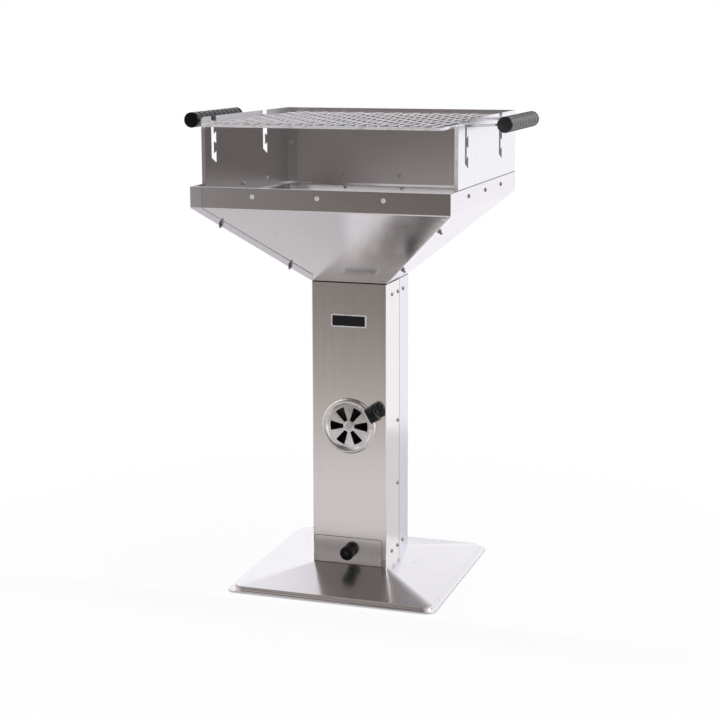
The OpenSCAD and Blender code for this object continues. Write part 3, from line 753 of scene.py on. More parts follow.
@dataclass
class Base:
    """The square pressed base plate."""

    half: float = 225.0
    corner: float = 22.0
    lip: float = 4.5
    ledge: float = 11.0
    riser: float = 7.5
    slope: float = 25.0
    draft: float = 0.4
    shoulder: float = 4.0
    shoulder_rise: float = 0.7
    column_half: float = 81.0
    under: float = 12.0
    fold: float = 1.6

    def build(self, finishes: Finishes) -> None:
        """Press the plate from a square skin, ring by ring.

        Args:
            finishes: The finishes to take from.
        """
        shaper = Shaper()
        bm = shaper.bm
        bmesh.ops.create_grid(bm, x_segments=1, y_segments=1, size=self.half)
        bmesh.ops.bevel(bm, geom=bm.verts[:], offset=self.corner, segments=8, profile=0.5, affect="VERTICES",
                        material=-1)
        bmesh.ops.delete(bm, geom=bm.faces[:], context="FACES_ONLY")
        edges = bm.edges[:]
        crown, top = self.half - self.ledge, self.lip + self.riser
        levels = [
            (self.half, self.lip), (crown, self.lip), (crown - self.draft, top),
            (crown - self.shoulder, top + self.shoulder_rise),
            (self.column_half, top + self.slope), (self.column_half - self.under, top + self.slope),
        ]
        size, height = self.half, 0.0
        for new_size, new_height in levels:
            share = new_size / size
            rise = Matrix.Translation((0.0, 0.0, new_height - height))
            edges = shaper.pull(edges, rise @ Matrix.Diagonal((share, share, 1.0, 1.0)))
            size, height = new_size, new_height
        bmesh.ops.edgeloop_fill(bm, edges=edges)
        rings = [e for e in shaper.folds(12.0) if abs(e.verts[0].co.z - e.verts[1].co.z) < 0.01]
        shaper.bevel([e for e in rings if e.verts[0].co.z < top], self.fold, 4)
        shaper.thicken(turned=True)
        # only the riser's front faces take the riser finish, a painted shade
        shaper.piece("base_plate_pressed", finishes.base, "stand", "sheet_steel", ["base_plate"], 40.0,
                     inner=finishes.riser, turned_in=lambda face: face.normal.y < -0.6
                     and self.lip - 0.5 < face.calc_center_median().z < top + 0.3)


@dataclass
class Column:
    """The two nested shells of the column."""

    half: float = 81.0
    low: float = 37.0
    high: float = 639.0
    seam: float = 11.0
    lap: float = 71.0
    bend: float = 1.8
    notch: float = 17.0
    vent_z: float = 338.0
    opening_x: tuple[float, float] = (-79.2, 72.0)
    opening_z: tuple[float, float] = (35.0, 96.5)
    opening_corner: float = 6.0
    past: float = 4.0

    def shell(self, plan: Sequence[tuple[float, float]]) -> Shaper:
        """Fold a sheet along a plan line and give it its wall.

        Args:
            plan: The outer face's corners seen from above.

        Returns:
            The standing sheet.
        """
        shaper = Shaper()
        bm = shaper.bm
        verts = [bm.verts.new((x, y, self.low)) for x, y in plan]
        edges = [bm.edges.new(pair) for pair in zip(verts, verts[1:])]
        shaper.pull(edges, Matrix.Translation((0.0, 0.0, self.high - self.low)))
        shaper.bevel(shaper.folds(), self.bend, 4)
        shaper.face_out()
        core = Vector((0.0, sum(y for _, y in plan) / len(plan), (self.low + self.high) / 2))
        face = shaper.largest()
        shaper.aim(face, face.calc_center_median() - core)
        shaper.thicken()
        return shaper

    def build(self, finishes: Finishes) -> None:
        """Fold both shells and cut the front one.

        Args:
            finishes: The finishes to take from.
        """
        h, inner = self.half, self.half - SHEET
        front = self.shell([(-h, self.seam), (-h, -h), (h, -h), (h, self.seam)])
        door = Shaper()
        door.slab(self.opening_x, self.opening_z, -h - self.past, self.past + 3.0)
        door.bevel(door.top_corners(self.opening_z[1]), self.opening_corner, 5)
        foot = Shaper()
        foot.slab((-inner, inner), (self.low - 7.0, self.low + self.notch), -h - self.past,
                  self.past + 1.2 * SHEET)
        air = air_openings(Matrix.Translation((0.0, -h - 3.0, self.vent_z)), 8.0)
        for cutter in (door, foot, air):
            front.cut(cutter)
        front.blunt()
        front.piece("column_front_shell", finishes.column, "stand", "sheet_steel", ["column_front"],
                    cut=finishes.cut)
        start = self.seam - self.lap
        rear = self.shell([(-inner, start), (-inner, h), (inner, h), (inner, start)])
        rear.blunt()
        rear.piece("column_rear_shell", finishes.column_side, "stand", "sheet_steel", ["column_rear"],
                   cut=finishes.cut)


def air_openings(place: Matrix, depth: float, inner: float = 12.0, outer: float = 41.0,
                 inner_half: float = 4.0, outer_half: float = 10.4, turn: float = 1.1) -> Shaper:
    """Six wedge-shaped cutters round the vent.

    Args:
        place: Where the vent's centre is.
        depth: How deep the cutters go along Y.
        inner: The radius at which the openings start.
        outer: The radius at which they end.
        inner_half: Half of an opening's width at its inner end.
        outer_half: Half of its width at its outer end.
        turn: The turn of them all off the level, in degrees.

    Returns:
        The cutters as one mesh.
    """
    shaper = Shaper()
    reach = math.asin(outer_half / outer)
    arc = [(outer * math.cos(a), 0.0, outer * math.sin(a)) for a in [reach * (i / 3 - 1) for i in range(7)]]
    shaper.prism([(inner, 0.0, -inner_half), *arc, (inner, 0.0, inner_half)], (0.0, depth, 0.0))
    shaper.copies([place @ Matrix.Rotation(-math.radians(60 * i + turn), 4, "Y") for i in range(6)])
    shaper.face_out()
    return shaper


@dataclass
class Bowl:
    """The funnel of four folded sheets, each with a flange round one corner."""

    half_w: float = 266.0
    half_d: float = 270.0
    column_half: float = 81.0
    foot_z: float = 641.0
    rim_z: float = 805.0
    top_z: float = 847.0
    wrap: float = 26.0
    wrap_foot: float = 2.0
    taper: float = 15.0
    lip: float = 9.0
    lip_in: float = 0.3
    lip_up: float = 0.15
    bend: float = 1.8

    def level(self, half: float) -> float:
        """Level thickness of a sloped sheet that reaches out to a half size."""
        run = half - self.column_half
        return SHEET * math.hypot(run, self.rim_z - self.foot_z) / (self.rim_z - self.foot_z)

    def at(self, half: float, z: float) -> float:
        """How far out a slope's outer face is at a height."""
        share = (z - self.foot_z) / (self.rim_z - self.foot_z)
        return self.column_half + (half - self.column_half) * share

    def sheet(self, side: Side) -> Shaper:
        """Fold one sheet, drawn as the right one and turned to its side.

        Args:
            side: The side of the bowl that it stands on.

        Returns:
            The sheet with its wall.
        """
        out, half = (self.half_w, self.half_d) if side.value % 2 == 0 else (self.half_d, self.half_w)
        grow, neck, far, wrapped = self.level(half), self.column_half, half + SHEET, out - self.wrap
        foot, rim, top, low = self.foot_z, self.rim_z, self.top_z, self.foot_z + self.taper
        shaper = Shaper()
        bm = shaper.bm
        a0, a1, a2, b0, b1, b2, c2, c1, ct, c0 = (bm.verts.new(place) for place in (
            (neck, grow - neck, foot), (out, SHEET - half, rim), (out, SHEET - half, top),
            (neck, neck + grow, foot), (out, far, rim), (out, far, top),
            (wrapped, far, top), (wrapped, far, rim),
            (self.at(out, low) - self.wrap, self.at(half, low) + grow, low),
            (neck - self.wrap_foot, neck + grow, foot)))
        for ring in ((a0, b0, b1, a1), (a1, b1, b2, a2), (b0, c0, ct, c1, b1), (b1, c1, c2, b2)):
            bm.faces.new(ring)
        shaper.face_out()
        shaper.aim(next(f for f in bm.faces if abs(f.calc_center_median().x - out) < 0.01), (1.0, 0.0, 0.0))
        shaper.bevel(shaper.folds(), self.bend, 4)
        shaper.thicken()
        shaper.blunt()
        shaper.transform(turn_z(side.value))
        return shaper

    def front_lip(self) -> Shaper:
        """Make the narrow lip that is folded in along the top of the front band, its top faces marked for the
        white hem finish, a painted highlight.

        Returns:
            The lip, a hair above the band's own edge.
        """
        shaper = Shaper()
        x, y, z = self.half_w - SHEET, self.lip_in - self.half_d, self.top_z + self.lip_up
        shaper.prism([(-x, y, z - SHEET), (-x, y + self.lip, z - SHEET), (-x, y + self.lip, z), (-x, y, z)],
                     (2 * x, 0, 0))
        shaper.bevel([e for e in shaper.folds(CUT_ANGLE) if e.calc_length() > self.half_w], 0.1, 1)
        for face in shaper.bm.faces:
            if face.normal.z > 0.3:
                face.material_index = Skin.PAINTED_HIGHLIGHT
        return shaper

    def build(self, finishes: Finishes) -> None:
        """Fold the four sheets.

        Args:
            finishes: The finishes to take from.
        """
        for side in Side:
            shaper = self.sheet(side)
            if side is Side.FRONT:
                shaper.add(self.front_lip())
            finish = finishes.bowl_side if side in (Side.LEFT, Side.RIGHT) else finishes.bowl
            name = side.name.lower()
            shaper.piece(f"bowl_sheet_{name}", finish, "stand", "sheet_steel", [f"bowl_{name}"],
                         cut=finishes.cut, painted_highlight=finishes.painted_highlight)


@dataclass
class Guard:
    """The three-sided wind guard with its stepped height slots."""

    x: float = 265.0
    y: float = 269.0
    low: float = 812.0
    high: float = 980.0
    front_y: float = -212.0
    flange: float = 26.0
    painted_highlight: float = 8.0
    corner: float = 12.0
    arm_y: float = 140.5
    arm_seat: float = 2.8
    slot_w: float = 13.0
    pocket: float = 12.5
    seat_drop: float = 17.0
    pitch: float = 39.5
    tooth: float = 14.0
    rise: float = 5.2
    fall: float = 12.0
    bend: float = 3.0
    bend_zone: float = 8.0

    def slot(self, back: float) -> list[tuple[float, float]]:
        """Draw one slot, from its rear top round to its front top.

        Args:
            back: How far back its notches reach.

        Returns:
            The outline in y and height.
        """
        edge = back - self.pocket
        front = edge - self.slot_w
        seats = [self.high - self.seat_drop - i * self.pitch for i in range(3)]
        outline = [(back, self.high)]
        for seat in seats[:2]:
            tooth = seat - self.tooth
            outline += [(back, seat), (edge, seat + self.rise), (edge, tooth - self.rise), (back, tooth)]
        return outline + [(back, seats[2]), (front, seats[2] + self.fall), (front, self.high)]

    def wall(self) -> Shaper:
        """Cut, fold and round a wall.

        Returns:
            The right wall.
        """
        shaper = Shaper()
        bm = shaper.bm
        rear = self.y - SHEET
        outline = [(rear, self.low), (rear, self.high)]
        for centre in (self.arm_y, -self.arm_y):
            outline += self.slot(centre + self.arm_seat)
        outline += [(self.front_y + self.corner - self.corner * math.sin(a),
                     self.high - self.corner + self.corner * math.cos(a))
                    for a in [math.pi / 2 * i / 5 for i in range(6)]]
        shaper.polygon([(self.x, y, z) for y, z in [*outline, (self.front_y, self.low)]])
        for at, z, width in ((rear, self.high, self.flange),
                             (self.front_y, self.high - self.corner, self.painted_highlight)):
            found = [e for e in bm.edges
                     if all(abs(v.co.y - at) < 0.01 and v.co.z < z + 0.01 for v in e.verts)]
            shaper.pull(found, Matrix.Translation((-width, 0.0, 0.0)))
        shaper.face_out()
        shaper.aim(shaper.largest(), (1.0, 0.0, 0.0))
        shaper.bevel(shaper.folds(), self.bend, 4)
        shaper.thicken()
        shaper.blunt(0.22)
        return shaper

    def build(self, finishes: Finishes) -> None:
        """Make the three walls.

        Args:
            finishes: The finishes to take from.
        """
        for name, matrix in HANDS:
            shaper = self.wall()
            shaper.transform(matrix)
            way = matrix[0][0]
            for face in shaper.bm.faces:
                spot, normal = face.calc_center_median(), face.normal
                in_bend = spot.y > self.y - self.bend_zone
                # the rear flange's front faces get the cut slot, which takes the darker recess finish:
                # painted shade in the corner
                if in_bend and normal.y < -0.5:
                    face.material_index = Skin.CUT
                # the right wall's front hem and the slanted faces of the rear bend get the white hem finish,
                # a painted highlight; the left wall's front hem stays in the painted inside shade
                in_hem = way > 0 and spot.y < self.front_y + 2.0 and normal.y < -0.3
                if in_hem or (in_bend and abs(normal.x) > 0.25 and normal.y < -0.25):
                    face.material_index = Skin.PAINTED_HIGHLIGHT
            # the inside faces take the guard's painted inside shade; the cut edges take the darker recess
            # finish, also painted shade
            shaper.piece(f"guard_wall_{name}", finishes.guard, "stand", "sheet_steel", [f"guard_{name}"],
                         cut=finishes.inner, inner=finishes.guard_inside_shade, painted_highlight=finishes.painted_highlight,
                         turned_in=lambda face, way=way: face.normal.x * way < -0.5 or face.normal.y < -0.5)
        rear = Shaper()
        rear.slab((-self.x, self.x), (self.low, self.high), self.y, -SHEET)
        rear.blunt()
        # the rear wall's inside takes the lighter painted shade
        rear.piece("guard_wall_rear", finishes.guard, "stand", "sheet_steel", ["guard_rear"],
                   inner=finishes.guard_inside_shade_rear, turned_in=lambda face: face.normal.y < -0.5)


@dataclass
class Vent:
    """The turning air vent: pressed dial, bent tab and knob."""

    face_y: float = -81.3
    z: float = 338.0
    rim: float = 59.0
    bead: float = 12.0
    bead_flat: float = 0.94
    bead_up: float = 0.3
    knob_angle: float = 30.0
    knob_d: float = 34.0
    knob_l: float = 17.0
    tab_t: float = 2.0
    tab_w: float = 33.0
    tab_h: float = 36.6
    dome: float = 1.4
    boss: float = 0.5

    def place(self) -> Matrix:
        """The dial's own frame: Z is out of the front."""
        return Matrix.Translation((0.0, self.face_y, self.z)) @ Matrix.Rotation(math.pi / 2, 4, "X")

    def tab_place(self) -> Matrix:
        """The dial's frame, turned so that X runs out to the tab."""
        return self.place() @ Matrix.Rotation(math.radians(self.knob_angle), 4, "Z")

    def dial(self) -> Shaper:
        """Press the slightly domed dial and cut its six openings.

        Returns:
            The dial in its place.
        """
        shaper = Shaper()
        radius = self.bead / 2
        ring = self.rim - radius
        flat, top = ring - radius - 1.0, SHEET + self.dome
        profile = [(0.0, top), (7.6, top), (8.4, top + self.boss), (9.6, top + self.boss)]
        profile += [(r, top - self.dome * (r / flat) ** 2) for r in (10.4, 17.0, 24.0, 31.0, 38.0, flat)]
        profile += [(ring - radius * math.cos(a), radius * math.sin(a) * self.bead_flat + self.bead_up)
                    for a in [math.pi * (0.14 + 0.86 * i / 10) for i in range(11)]]
        shaper.lathe(profile, 72)
        shaper.aim(shaper.largest(), (0.0, 0.0, 1.0))
        shaper.thicken(SHEET * 0.9)
        shaper.transform(self.place())
        shaper.cut(air_openings(Matrix.Translation((0.0, self.face_y - 6.0, self.z)), 9.0), 0.05)
        return shaper

    def tab(self) -> Shaper:
        """Bend the tab that carries the knob.

        Returns:
            The tab in its place, its front faces marked for the white hem finish, a painted highlight.
        """
        shaper = Shaper()
        inner, outer, half, top = self.rim - SHEET, self.rim - SHEET + self.tab_t, self.tab_w / 2, self.tab_h
        shaper.prism([(inner, -half, 0), (outer, -half, 0), (outer, -half, top), (inner, -half, top)],
                     (0, self.tab_w, 0))
        shaper.bevel(shaper.top_corners(top, 1), 3.0, 4)
        shaper.blunt(0.35)
        shaper.transform(self.tab_place())
        for face in shaper.bm.faces:
            if face.normal.y < -0.5:
                face.material_index = Skin.PAINTED_HIGHLIGHT
        return shaper

    def build(self, finishes: Finishes) -> None:
        """Make the dial and its knob.

        Args:
            finishes: The finishes to take from.
        """
        dial = self.dial()
        dial.add(self.tab())
        dial.piece("vent_dial_pressed", finishes.dial, "dial", "sheet_steel", ["vent_dial"], painted_highlight=finishes.painted_highlight)
        knob = turned_knob(self.knob_d, self.knob_l, 0.0)
        knob.transform(self.tab_place()
                       @ Matrix.Translation((self.rim - SHEET + self.tab_t, 0, self.knob_d / 2 + SHEET))
                       @ Matrix.Rotation(math.pi / 2, 4, "Y"))
        knob.piece("vent_knob_turned", finishes.knob, "dial", "black_grip", ["vent_knob"])


def turned_knob(diameter: float, length: float, foot: float, flutes: int = 10) -> Shaper:
    """A moulded knob with a rounded rim and fluted sides, standing on zero.

    Args:
        diameter: Its widest diameter.
        length: Its height.
        foot: The share of its height that is a narrower foot.
        flutes: How many grooves go round it.

    Returns:
        The knob, with its axis along Z.
    """
    r, neck, head = diameter / 2, diameter * 0.36, length * foot
    shaper = Shaper()
    rim = 1.8
    profile = [(0.0, 0.0)]
    if foot:
        profile += [(neck, 0.0), (neck, head * 0.6), (r - 1.4, head)]
    else:
        profile += [(r - 1.2, 0.0)]
    profile += [(r - 0.3, head + 0.4), (r, head + 1.2)]
    profile += [(r - rim + rim * math.cos(a), length - rim + rim * math.sin(a))
                for a in [math.pi / 2 * i / 4 for i in range(5)]]
    profile += [(r * 0.62, length), (r * 0.58, length - 0.9), (5.8, length - 0.9), (5.6, length - 1.6),
                (0.0, length - 1.6)]
    shaper.lathe(profile, flutes * 6)
    for v in shaper.bm.verts:
        if v.co.z > head * 0.99 and v.co.xy.length > r * 0.8:
            share = 1.0 - 0.055 * max(0.0, math.cos(flutes * math.atan2(v.co.y, v.co.x))) ** 2
            v.co.x *= share
            v.co.y *= share
    return shaper


@dataclass
class Drawer:
    """The ash drawer's front, tray and knob."""

    left: float = -78.4
    right: float = 71.0
    low: float = 38.0
    high: float = 95.5
    corner: float = 5.0
    face_y: float = -81.0
    tray_half: float = 69.0
    shift: float = -2.5
    tray_back: float = 66.0
    tray_top: float = 84.0
    knob_z: float = 66.75
    knob_d: float = 30.0
    knob_l: float = 22.0

    def build(self, finishes: Finishes) -> None:
        """Fold the front and tray and put on the knob.

        Args:
            finishes: The finishes to take from.
        """
        shaper = Shaper()
        y = self.face_y
        shaper.slab((self.left, self.right), (self.low, self.high), y, SHEET)
        shaper.bevel(shaper.top_corners(self.high), self.corner, 5)
        shaper.blunt(0.3)
        tray = Shaper()
        t0, t1 = self.shift - self.tray_half, self.shift + self.tray_half
        bottom = tray.polygon([(t0, y + SHEET, self.low), (t1, y + SHEET, self.low),
                               (t1, self.tray_back, self.low), (t0, self.tray_back, self.low)])
        tray.pull(bottom.edges, Matrix.Translation((0.0, 0.0, self.tray_top - self.low)))
        tray.bevel(tray.folds(), 1.5, 3)
        tray.face_out()
        tray.aim(min(tray.bm.faces, key=lambda f: f.calc_center_median().z), (0.0, 0.0, -1.0))
        tray.thicken()
        shaper.add(tray)
        shaper.piece("ash_drawer_folded", finishes.column, "drawer", "sheet_steel", ["ash_drawer"])
        knob = turned_knob(self.knob_d, self.knob_l, 0.42)
        knob.transform(Matrix.Translation((0.0, y, self.knob_z)) @ Matrix.Rotation(math.pi / 2, 4, "X"))
        knob.piece("drawer_knob_turned", finishes.knob, "drawer", "black_grip", ["drawer_knob"])


@dataclass
class NamePlate:
    """The blank plate high on the column."""

    half_w: float = 38.0
    half_h: float = 13.25
    z: float = 560.5
    y: float = -81.0
    thick: float = 2.0
    border: float = 2.5
    corner: float = 3.0

    def tile(self, less: float, depth: float) -> Shaper:
        """Make a small rounded tile.

        Args:
            less: How much smaller than the plate it is on each side.
            depth: How far it stands off the column.

        Returns:
            The tile.
        """
        w, h = self.half_w - less, self.half_h - less
        shaper = Shaper()
        shaper.slab((-w, w), (self.z - h, self.z + h), self.y, -depth)
        shaper.bevel([e for e in shaper.bm.edges if abs(e.verts[0].co.y - e.verts[1].co.y) > 0.1],
                     max(self.corner - less, 0.6), 5)
        return shaper

    def build(self, finishes: Finishes) -> None:
        """Make the bright frame and the black face.

        Args:
            finishes: The finishes to take from.
        """
        edge = self.tile(0.0, self.thick)
        hole = self.tile(self.border, self.thick + 2.0)
        hole.transform(Matrix.Translation((0, 1.0, 0)))
        edge.cut(hole)
        edge.blunt(0.3)
        edge.piece("name_plate_rim", finishes.trim, "stand", "fastener_steel", ["name_plate_frame"])
        face = self.tile(self.border, self.thick / 2)
        face.piece("name_plate_blank", finishes.plate, "stand", "plate_black", ["name_plate_face"])


@dataclass
class Grid:
    """The lift-out cooking grid with its woven wires and handles."""

    frame_x: float = 244.5
    frame_y: float = 255.0
    z: float = 966.64
    rod: float = 3.0
    corner: float = 9.0
    wire: float = 1.1
    strand: float = 1.5
    long_pitch: float = 21.6
    cross_pitch: float = 32.0
    crimp: float = 0.8
    hook_angles: tuple[float, ...] = (12.0, 38.0, 64.0, 90.0)
    weld: float = 1.0
    dip: float = 2.0
    arm: float = 2.5
    arm_y: float = 140.5
    bend: float = 12.0
    elbow_x: float = 271.0
    grip_x: float = 331.0
    grip_z: float = 968.84
    grip_shift: float = 8.0
    grip_half: float = 122.5
    grip_r: float = 16.0
    inset: float = 20.0
    rib_pitch: float = 22.8

    def frame_rod(self) -> Shaper:
        """Bend the closed outer rod.

        Returns:
            The rod.
        """
        shaper = Shaper()
        x, y, z = self.frame_x, self.frame_y, self.z
        corners = [(0, -y, z), (x, -y, z), (x, y, z), (-x, y, z), (-x, -y, z), (0, -y, z)]
        shaper.sweep(rounded(corners, self.corner, 5), self.rod, 14)
        return shaper

    def gaps(self) -> tuple[int, int]:
        """How many gaps there are between the long wires and between the cross wires."""
        return (math.floor(2 * (self.frame_x - self.corner) / self.long_pitch),
                math.floor(2 * (self.frame_y - self.corner) / self.cross_pitch) - 2)

    def wave(self, gaps: int, pitch: float, phase: int) -> list[tuple[float, float]]:
        """Follow one woven wire.

        Args:
            gaps: How many gaps it spans.
            pitch: The width of a gap.
            phase: 0 or 1, for the wires that start over or under.

        Returns:
            How far along and how far up it is at each crossing and between them.
        """
        height = self.wire * self.crimp
        swings = [math.cos(math.pi * (i / 2 + phase)) if i % 2 == 0 else 0.0 for i in range(gaps * 2 + 1)]
        return [((i / 2 - gaps / 2) * pitch, swing * height) for i, swing in enumerate(swings)]

    def strands(self, paths: Sequence[Sequence[Vector]], radius: float, gaps: int, step: Point) -> Shaper:
        """Repeat two wires in turn.

        Args:
            paths: The way of the first wire and of the second.
            radius: The wires' radius.
            gaps: How many gaps there are between the wires.
            step: The way from one wire to the next.

        Returns:
            All the wires.
        """
        made = Shaper()
        for phase, path in enumerate(paths):
            shaper = Shaper()
            shaper.sweep(path, radius, 6)
            shaper.copies([Matrix.Translation(Vector(step) * (i - gaps / 2))
                           for i in range(phase, gaps + 1, 2)])
            made.add(shaper)
        return made

    def long_wires(self) -> Shaper:
        """Weave the wires from front to back and hook them round the frame.

        Returns:
            The wires.
        """
        count, cross = self.gaps()
        hook = self.rod + self.wire
        start = [Vector((0, -self.frame_y - hook * math.cos(a), self.z + hook * math.sin(a)))
                 for a in [math.radians(v) for v in self.hook_angles]]
        end = [Vector((p.x, -p.y, p.z)) for p in reversed(start)]
        woven = [[Vector((0, y, self.z + hook + up))
                  for y, up in self.wave(cross, self.cross_pitch, phase)] for phase in (0, 1)]
        paths = [[*start, *way, *end] for way in woven]
        return self.strands(paths, self.strand, count, (self.long_pitch, 0, 0))

    def cross_wires(self) -> Shaper:
        """Weave the wires from side to side the other way.

        Returns:
            The wires.
        """
        count, cross = self.gaps()
        level = self.z + self.rod
        reach = self.frame_x - self.rod + self.weld
        start, end = (Vector((x, 0, level - self.dip)) for x in (-reach, reach))
        woven = [[Vector((x, 0, level - self.wire - up))
                  for x, up in self.wave(count, self.long_pitch, phase)] for phase in (0, 1)]
        paths = [[start, *way, end] for way in woven]
        return self.strands(paths, self.wire, cross, (0, self.cross_pitch, 0))

    def handle(self) -> Shaper:
        """Bend the right handle's wire.

        Returns:
            The wire.
        """
        core = self.grip_half - self.inset
        slope = (self.grip_z - self.z) / (self.grip_x - self.frame_x)
        elbow_z = self.z + slope * (self.elbow_x - self.frame_x)
        foot_x = self.frame_x + self.rod * 0.8
        shaper = Shaper()
        path = rounded([
            (foot_x, -self.arm_y, self.z), (self.elbow_x, -self.arm_y, elbow_z),
            (self.grip_x, self.grip_shift - core, self.grip_z),
            (self.grip_x, self.grip_shift + core, self.grip_z),
            (self.elbow_x, self.arm_y, elbow_z), (foot_x, self.arm_y, self.z),
        ], self.bend, 5)
        shaper.sweep(path, self.arm, 12)
        return shaper

    def grip(self) -> Shaper:
        """Make the right grip: a ribbed cylinder with a rounded cap at each end.

        Returns:
            The grip.
        """
        half, r = self.grip_half, self.grip_r
        low = r - 0.9
        cap = [(0.0, half), (r - 2.2, half), (r - 0.8, half - 0.6), (r, half - 2.2), (r, half - 3.6),
               (low, half - 4.6)]
        ribs = math.floor((2 * half - 14) / self.rib_pitch)
        rib = [(low, -1.9), (r - 0.2, -1.0), (r, -0.4), (r, 0.4), (r - 0.2, 1.0), (low, 1.9)]
        profile = [(out, -y) for out, y in cap]
        profile += [(out, (i - ribs / 2) * self.rib_pitch + y) for i in range(ribs + 1) for out, y in rib]
        shaper = Shaper()
        shaper.lathe([*profile, *reversed(cap)], 40)
        shaper.transform(Matrix.Translation((self.grip_x, self.grip_shift, self.grip_z))
                         @ Matrix.Rotation(-math.pi / 2, 4, "X"))
        return shaper

    def build(self, finishes: Finishes) -> None:
        """Make the grid, the wires and both handles.

        Args:
            finishes: The finishes to take from.
        """
        self.frame_rod().piece("grid_rod", finishes.trim, "grid", "wire_steel", ["grid_frame"])
        self.long_wires().piece("grid_wires_long", finishes.wire, "grid", "wire_steel",
                                ["grid_long_wires"], 60.0, weigh=False)
        self.cross_wires().piece("grid_wires_cross", finishes.cross, "grid", "wire_steel",
                                 ["grid_cross_wires"], 60.0, weigh=False)
        for name, matrix in HANDS:
            arm, grip = self.handle(), self.grip()
            arm.transform(matrix)
            grip.transform(matrix)
            arm.piece(f"handle_bar_{name}", finishes.arm, "grid", "wire_steel", [f"handle_wire_{name}"])
            # the right grip gets the glossy black and the left the duller knob black: a painted sheen on the
            # right grip
            skin, caps = (finishes.black, ["grip_caps"]) if name == "right" else (finishes.knob, [])
            grip.piece(f"grip_ribbed_{name}", skin, "grid", "black_grip", [f"grip_{name}", *caps], 30.0)


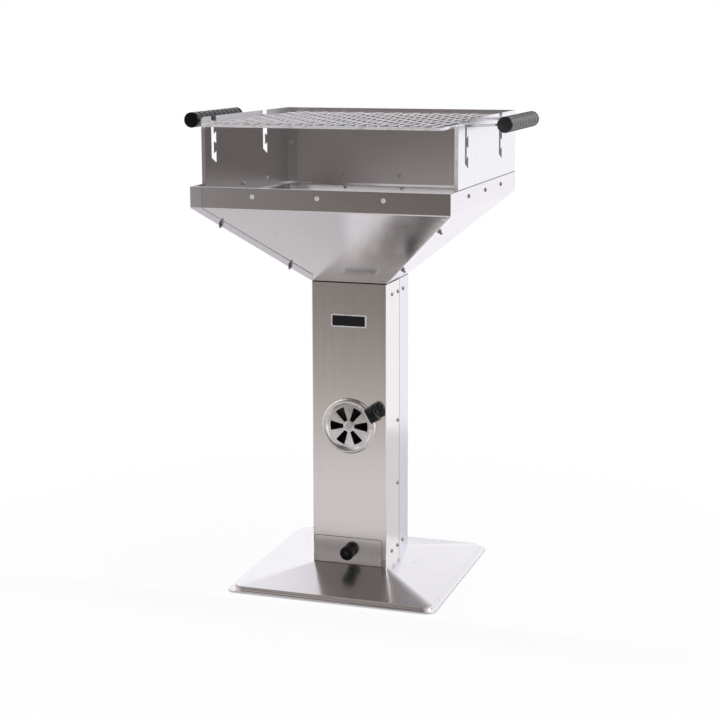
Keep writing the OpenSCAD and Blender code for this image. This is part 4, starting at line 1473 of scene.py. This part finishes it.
@dataclass
class Studio:
    """The pale floor, the soft light and the camera at the photo's angle."""

    azimuth: float = 18.235
    elevation: float = 10.001
    roll: float = -0.119
    eye: tuple[float, float, float] = (1.0410, -3.1492, 1.13865)
    lens: float = 79.84
    shift: tuple[float, float] = (-0.00373, -0.0589)
    floor_r: float = 1.3
    floor_pale: Colour = (0.93, 0.92, 0.93)
    floor_dark: Colour = (0.34, 0.33, 0.32)
    room_white: Colour = (0.98, 0.97, 1.0)
    room_dark: Colour = (0.125, 0.110, 0.103)
    room_low: Colour = (0.57, 0.53, 0.50)

    def camera(self) -> None:
        """Place the camera that the photo was taken with."""
        a, e, r = (math.radians(v) for v in (self.azimuth, self.elevation, self.roll))
        ahead = Vector((-math.sin(a) * math.cos(e), math.cos(a) * math.cos(e), -math.sin(e)))
        right = Vector((math.cos(a), math.sin(a), 0.0))
        up = right.cross(ahead)
        level = right * math.cos(r) + up * math.sin(r)
        high = up * math.cos(r) - right * math.sin(r)
        data = bpy.data.cameras.new("camera")
        data.sensor_width, data.lens = 36.0, self.lens
        data.shift_x, data.shift_y = self.shift
        camera = new_object("camera", data)
        look = Matrix((level, high, -ahead)).transposed().to_4x4()
        camera.matrix_world = Matrix.Translation(self.eye) @ look
        bpy.context.scene.camera = camera

    def floor(self) -> None:
        """Lay a pale round floor that fades into the white room, with a dark strip before the base."""
        bm = bmesh.new()
        bmesh.ops.create_circle(bm, cap_ends=True, radius=self.floor_r, segments=96,
                                matrix=Matrix.Translation((0.0, 0.0, -0.0003)))
        mesh = bpy.data.meshes.new("floor")
        bm.to_mesh(mesh)
        bm.free()
        material, board = new_material("floor_pale")
        reach = board.node("ShaderNodeVectorMath", {"operation": "LENGTH"}, {0: board.place()}, "Value")
        white = reach.step(0.35, 0.95 * self.floor_r) * 0.05 + 0.95
        rays = board.node("ShaderNodeLightPath", output="Is Camera Ray")
        # the strip in front of the base, which only reflections show
        ahead = board.axis("Y")
        strip = ahead.step(-0.40, -0.32) * (1.0 - ahead.step(-0.262, -0.238))
        plain = board.node("ShaderNodeBsdfDiffuse", {},
                           {"Color": board.mix(strip, self.floor_pale, self.floor_dark)})
        glow = board.node("ShaderNodeEmission", {}, {"Color": WHITE, "Strength": 1.0})
        mixed = board.node("ShaderNodeMixShader", {}, {0: rays * white, 1: plain, 2: glow})
        board.end("ShaderNodeOutputMaterial", mixed)
        mesh.materials.append(material)
        floor = new_object("floor", mesh)

    def room(self) -> None:
        """Light the room: white behind and at the sides, dark in front where the camera stands."""
        world = bpy.data.worlds.new("room")
        bpy.context.scene.world = world
        world.use_nodes = True
        board = Board(world.node_tree)
        x, y, z = (board.axis(name, "Generated") for name in "XYZ")
        # white behind, with a dark patch high on the left that the bowl's front slope reflects
        ceiling = z.step(0.45, 0.58) * (x.step(-0.33, -0.28) * -0.84 - 0.06) + 1.0
        behind = y.step(-0.15, 0.35) * ceiling
        right = x.step(0.30, 0.80)
        left = (x * -1.0).step(0.25, 0.90) * 0.8
        above = z.step(0.66, 0.98) * y.step(-0.55, -0.10) * 0.75
        light = behind.most(right).most(left).most(above)
        # dark in front, and lighter below the level of the camera
        down = z * -1.0
        below = down.step(0.10, 0.21) * 0.28 + down.step(0.195, 0.235) * 0.72
        front = board.mix(below, self.room_dark, self.room_low)
        shade = board.mix(light, front, self.room_white)
        seen = board.node("ShaderNodeLightPath", output="Is Camera Ray")
        colour = board.mix(seen, shade, WHITE)
        back = board.node("ShaderNodeBackground", {}, {"Color": colour, "Strength": 1.0})
        board.end("ShaderNodeOutputWorld", back)

    def lamp(self, name: str, place: Point, size: float, power: float) -> None:
        """Hang one soft lamp that looks at the bowl.

        Args:
            name: The lamp's name.
            place: Where it hangs.
            size: Its diameter.
            power: Its power in watts.
        """
        data = bpy.data.lights.new(name, "AREA")
        data.shape, data.size, data.energy = "DISK", size, power
        lamp = new_object(name, data)
        lamp.location = place
        lamp.rotation_euler = (Vector((0.0, 0.0, 0.6)) - Vector(place)).to_track_quat("-Z", "Y").to_euler()

    def build(self) -> None:
        """Set the whole studio up."""
        scene = bpy.context.scene
        scene.view_settings.view_transform = "Standard"
        self.camera()
        self.floor()
        self.room()
        self.lamp("lamp_left", (-2.0, -1.2, 2.4), 1.2, 3.0)
        self.lamp("lamp_right", (2.4, 0.6, 2.2), 1.4, 18.0)


def main() -> None:
    """Build every piece in order and report it."""
    logging.basicConfig(level=logging.INFO, format="%(message)s")
    Studio().build()
    finishes = Finishes()
    for slot, finish, *nodes in (
        # painted shade on the drawer runners and the collar inside the column
        ("sheet_steel", finishes.inner, "drawer_runners", "base_collar"),
        # painted shadow in the gap under the bowl's neck
        ("sheet_steel", finishes.painted_gap_shadow, "top_collar"),
        ("fastener_steel", finishes.rim_bolt, "rim_bolts"),
        ("fastener_steel", finishes.bolt, "column_nuts", "vent_rivet", "rim_nuts", "guard_bolts",
         "guard_nuts"),
        # painted shade on the bolts and nuts at the sides
        ("fastener_steel", finishes.shaded_bolt, "column_bolts", "bowl_bolts", "bowl_nuts"),
        ("fastener_steel", finishes.screw, "drawer_screw", "vent_screw"),
        ("grate_steel", finishes.grate, "charcoal_grate"),
    ):
        finishes.dress(slot, finish, *nodes)
    for part in (Base(), Column(), Bowl(), Guard(), Vent(), Drawer(), NamePlate(), Grid()):
        part.build(finishes)


if __name__ == "__main__":
    main()
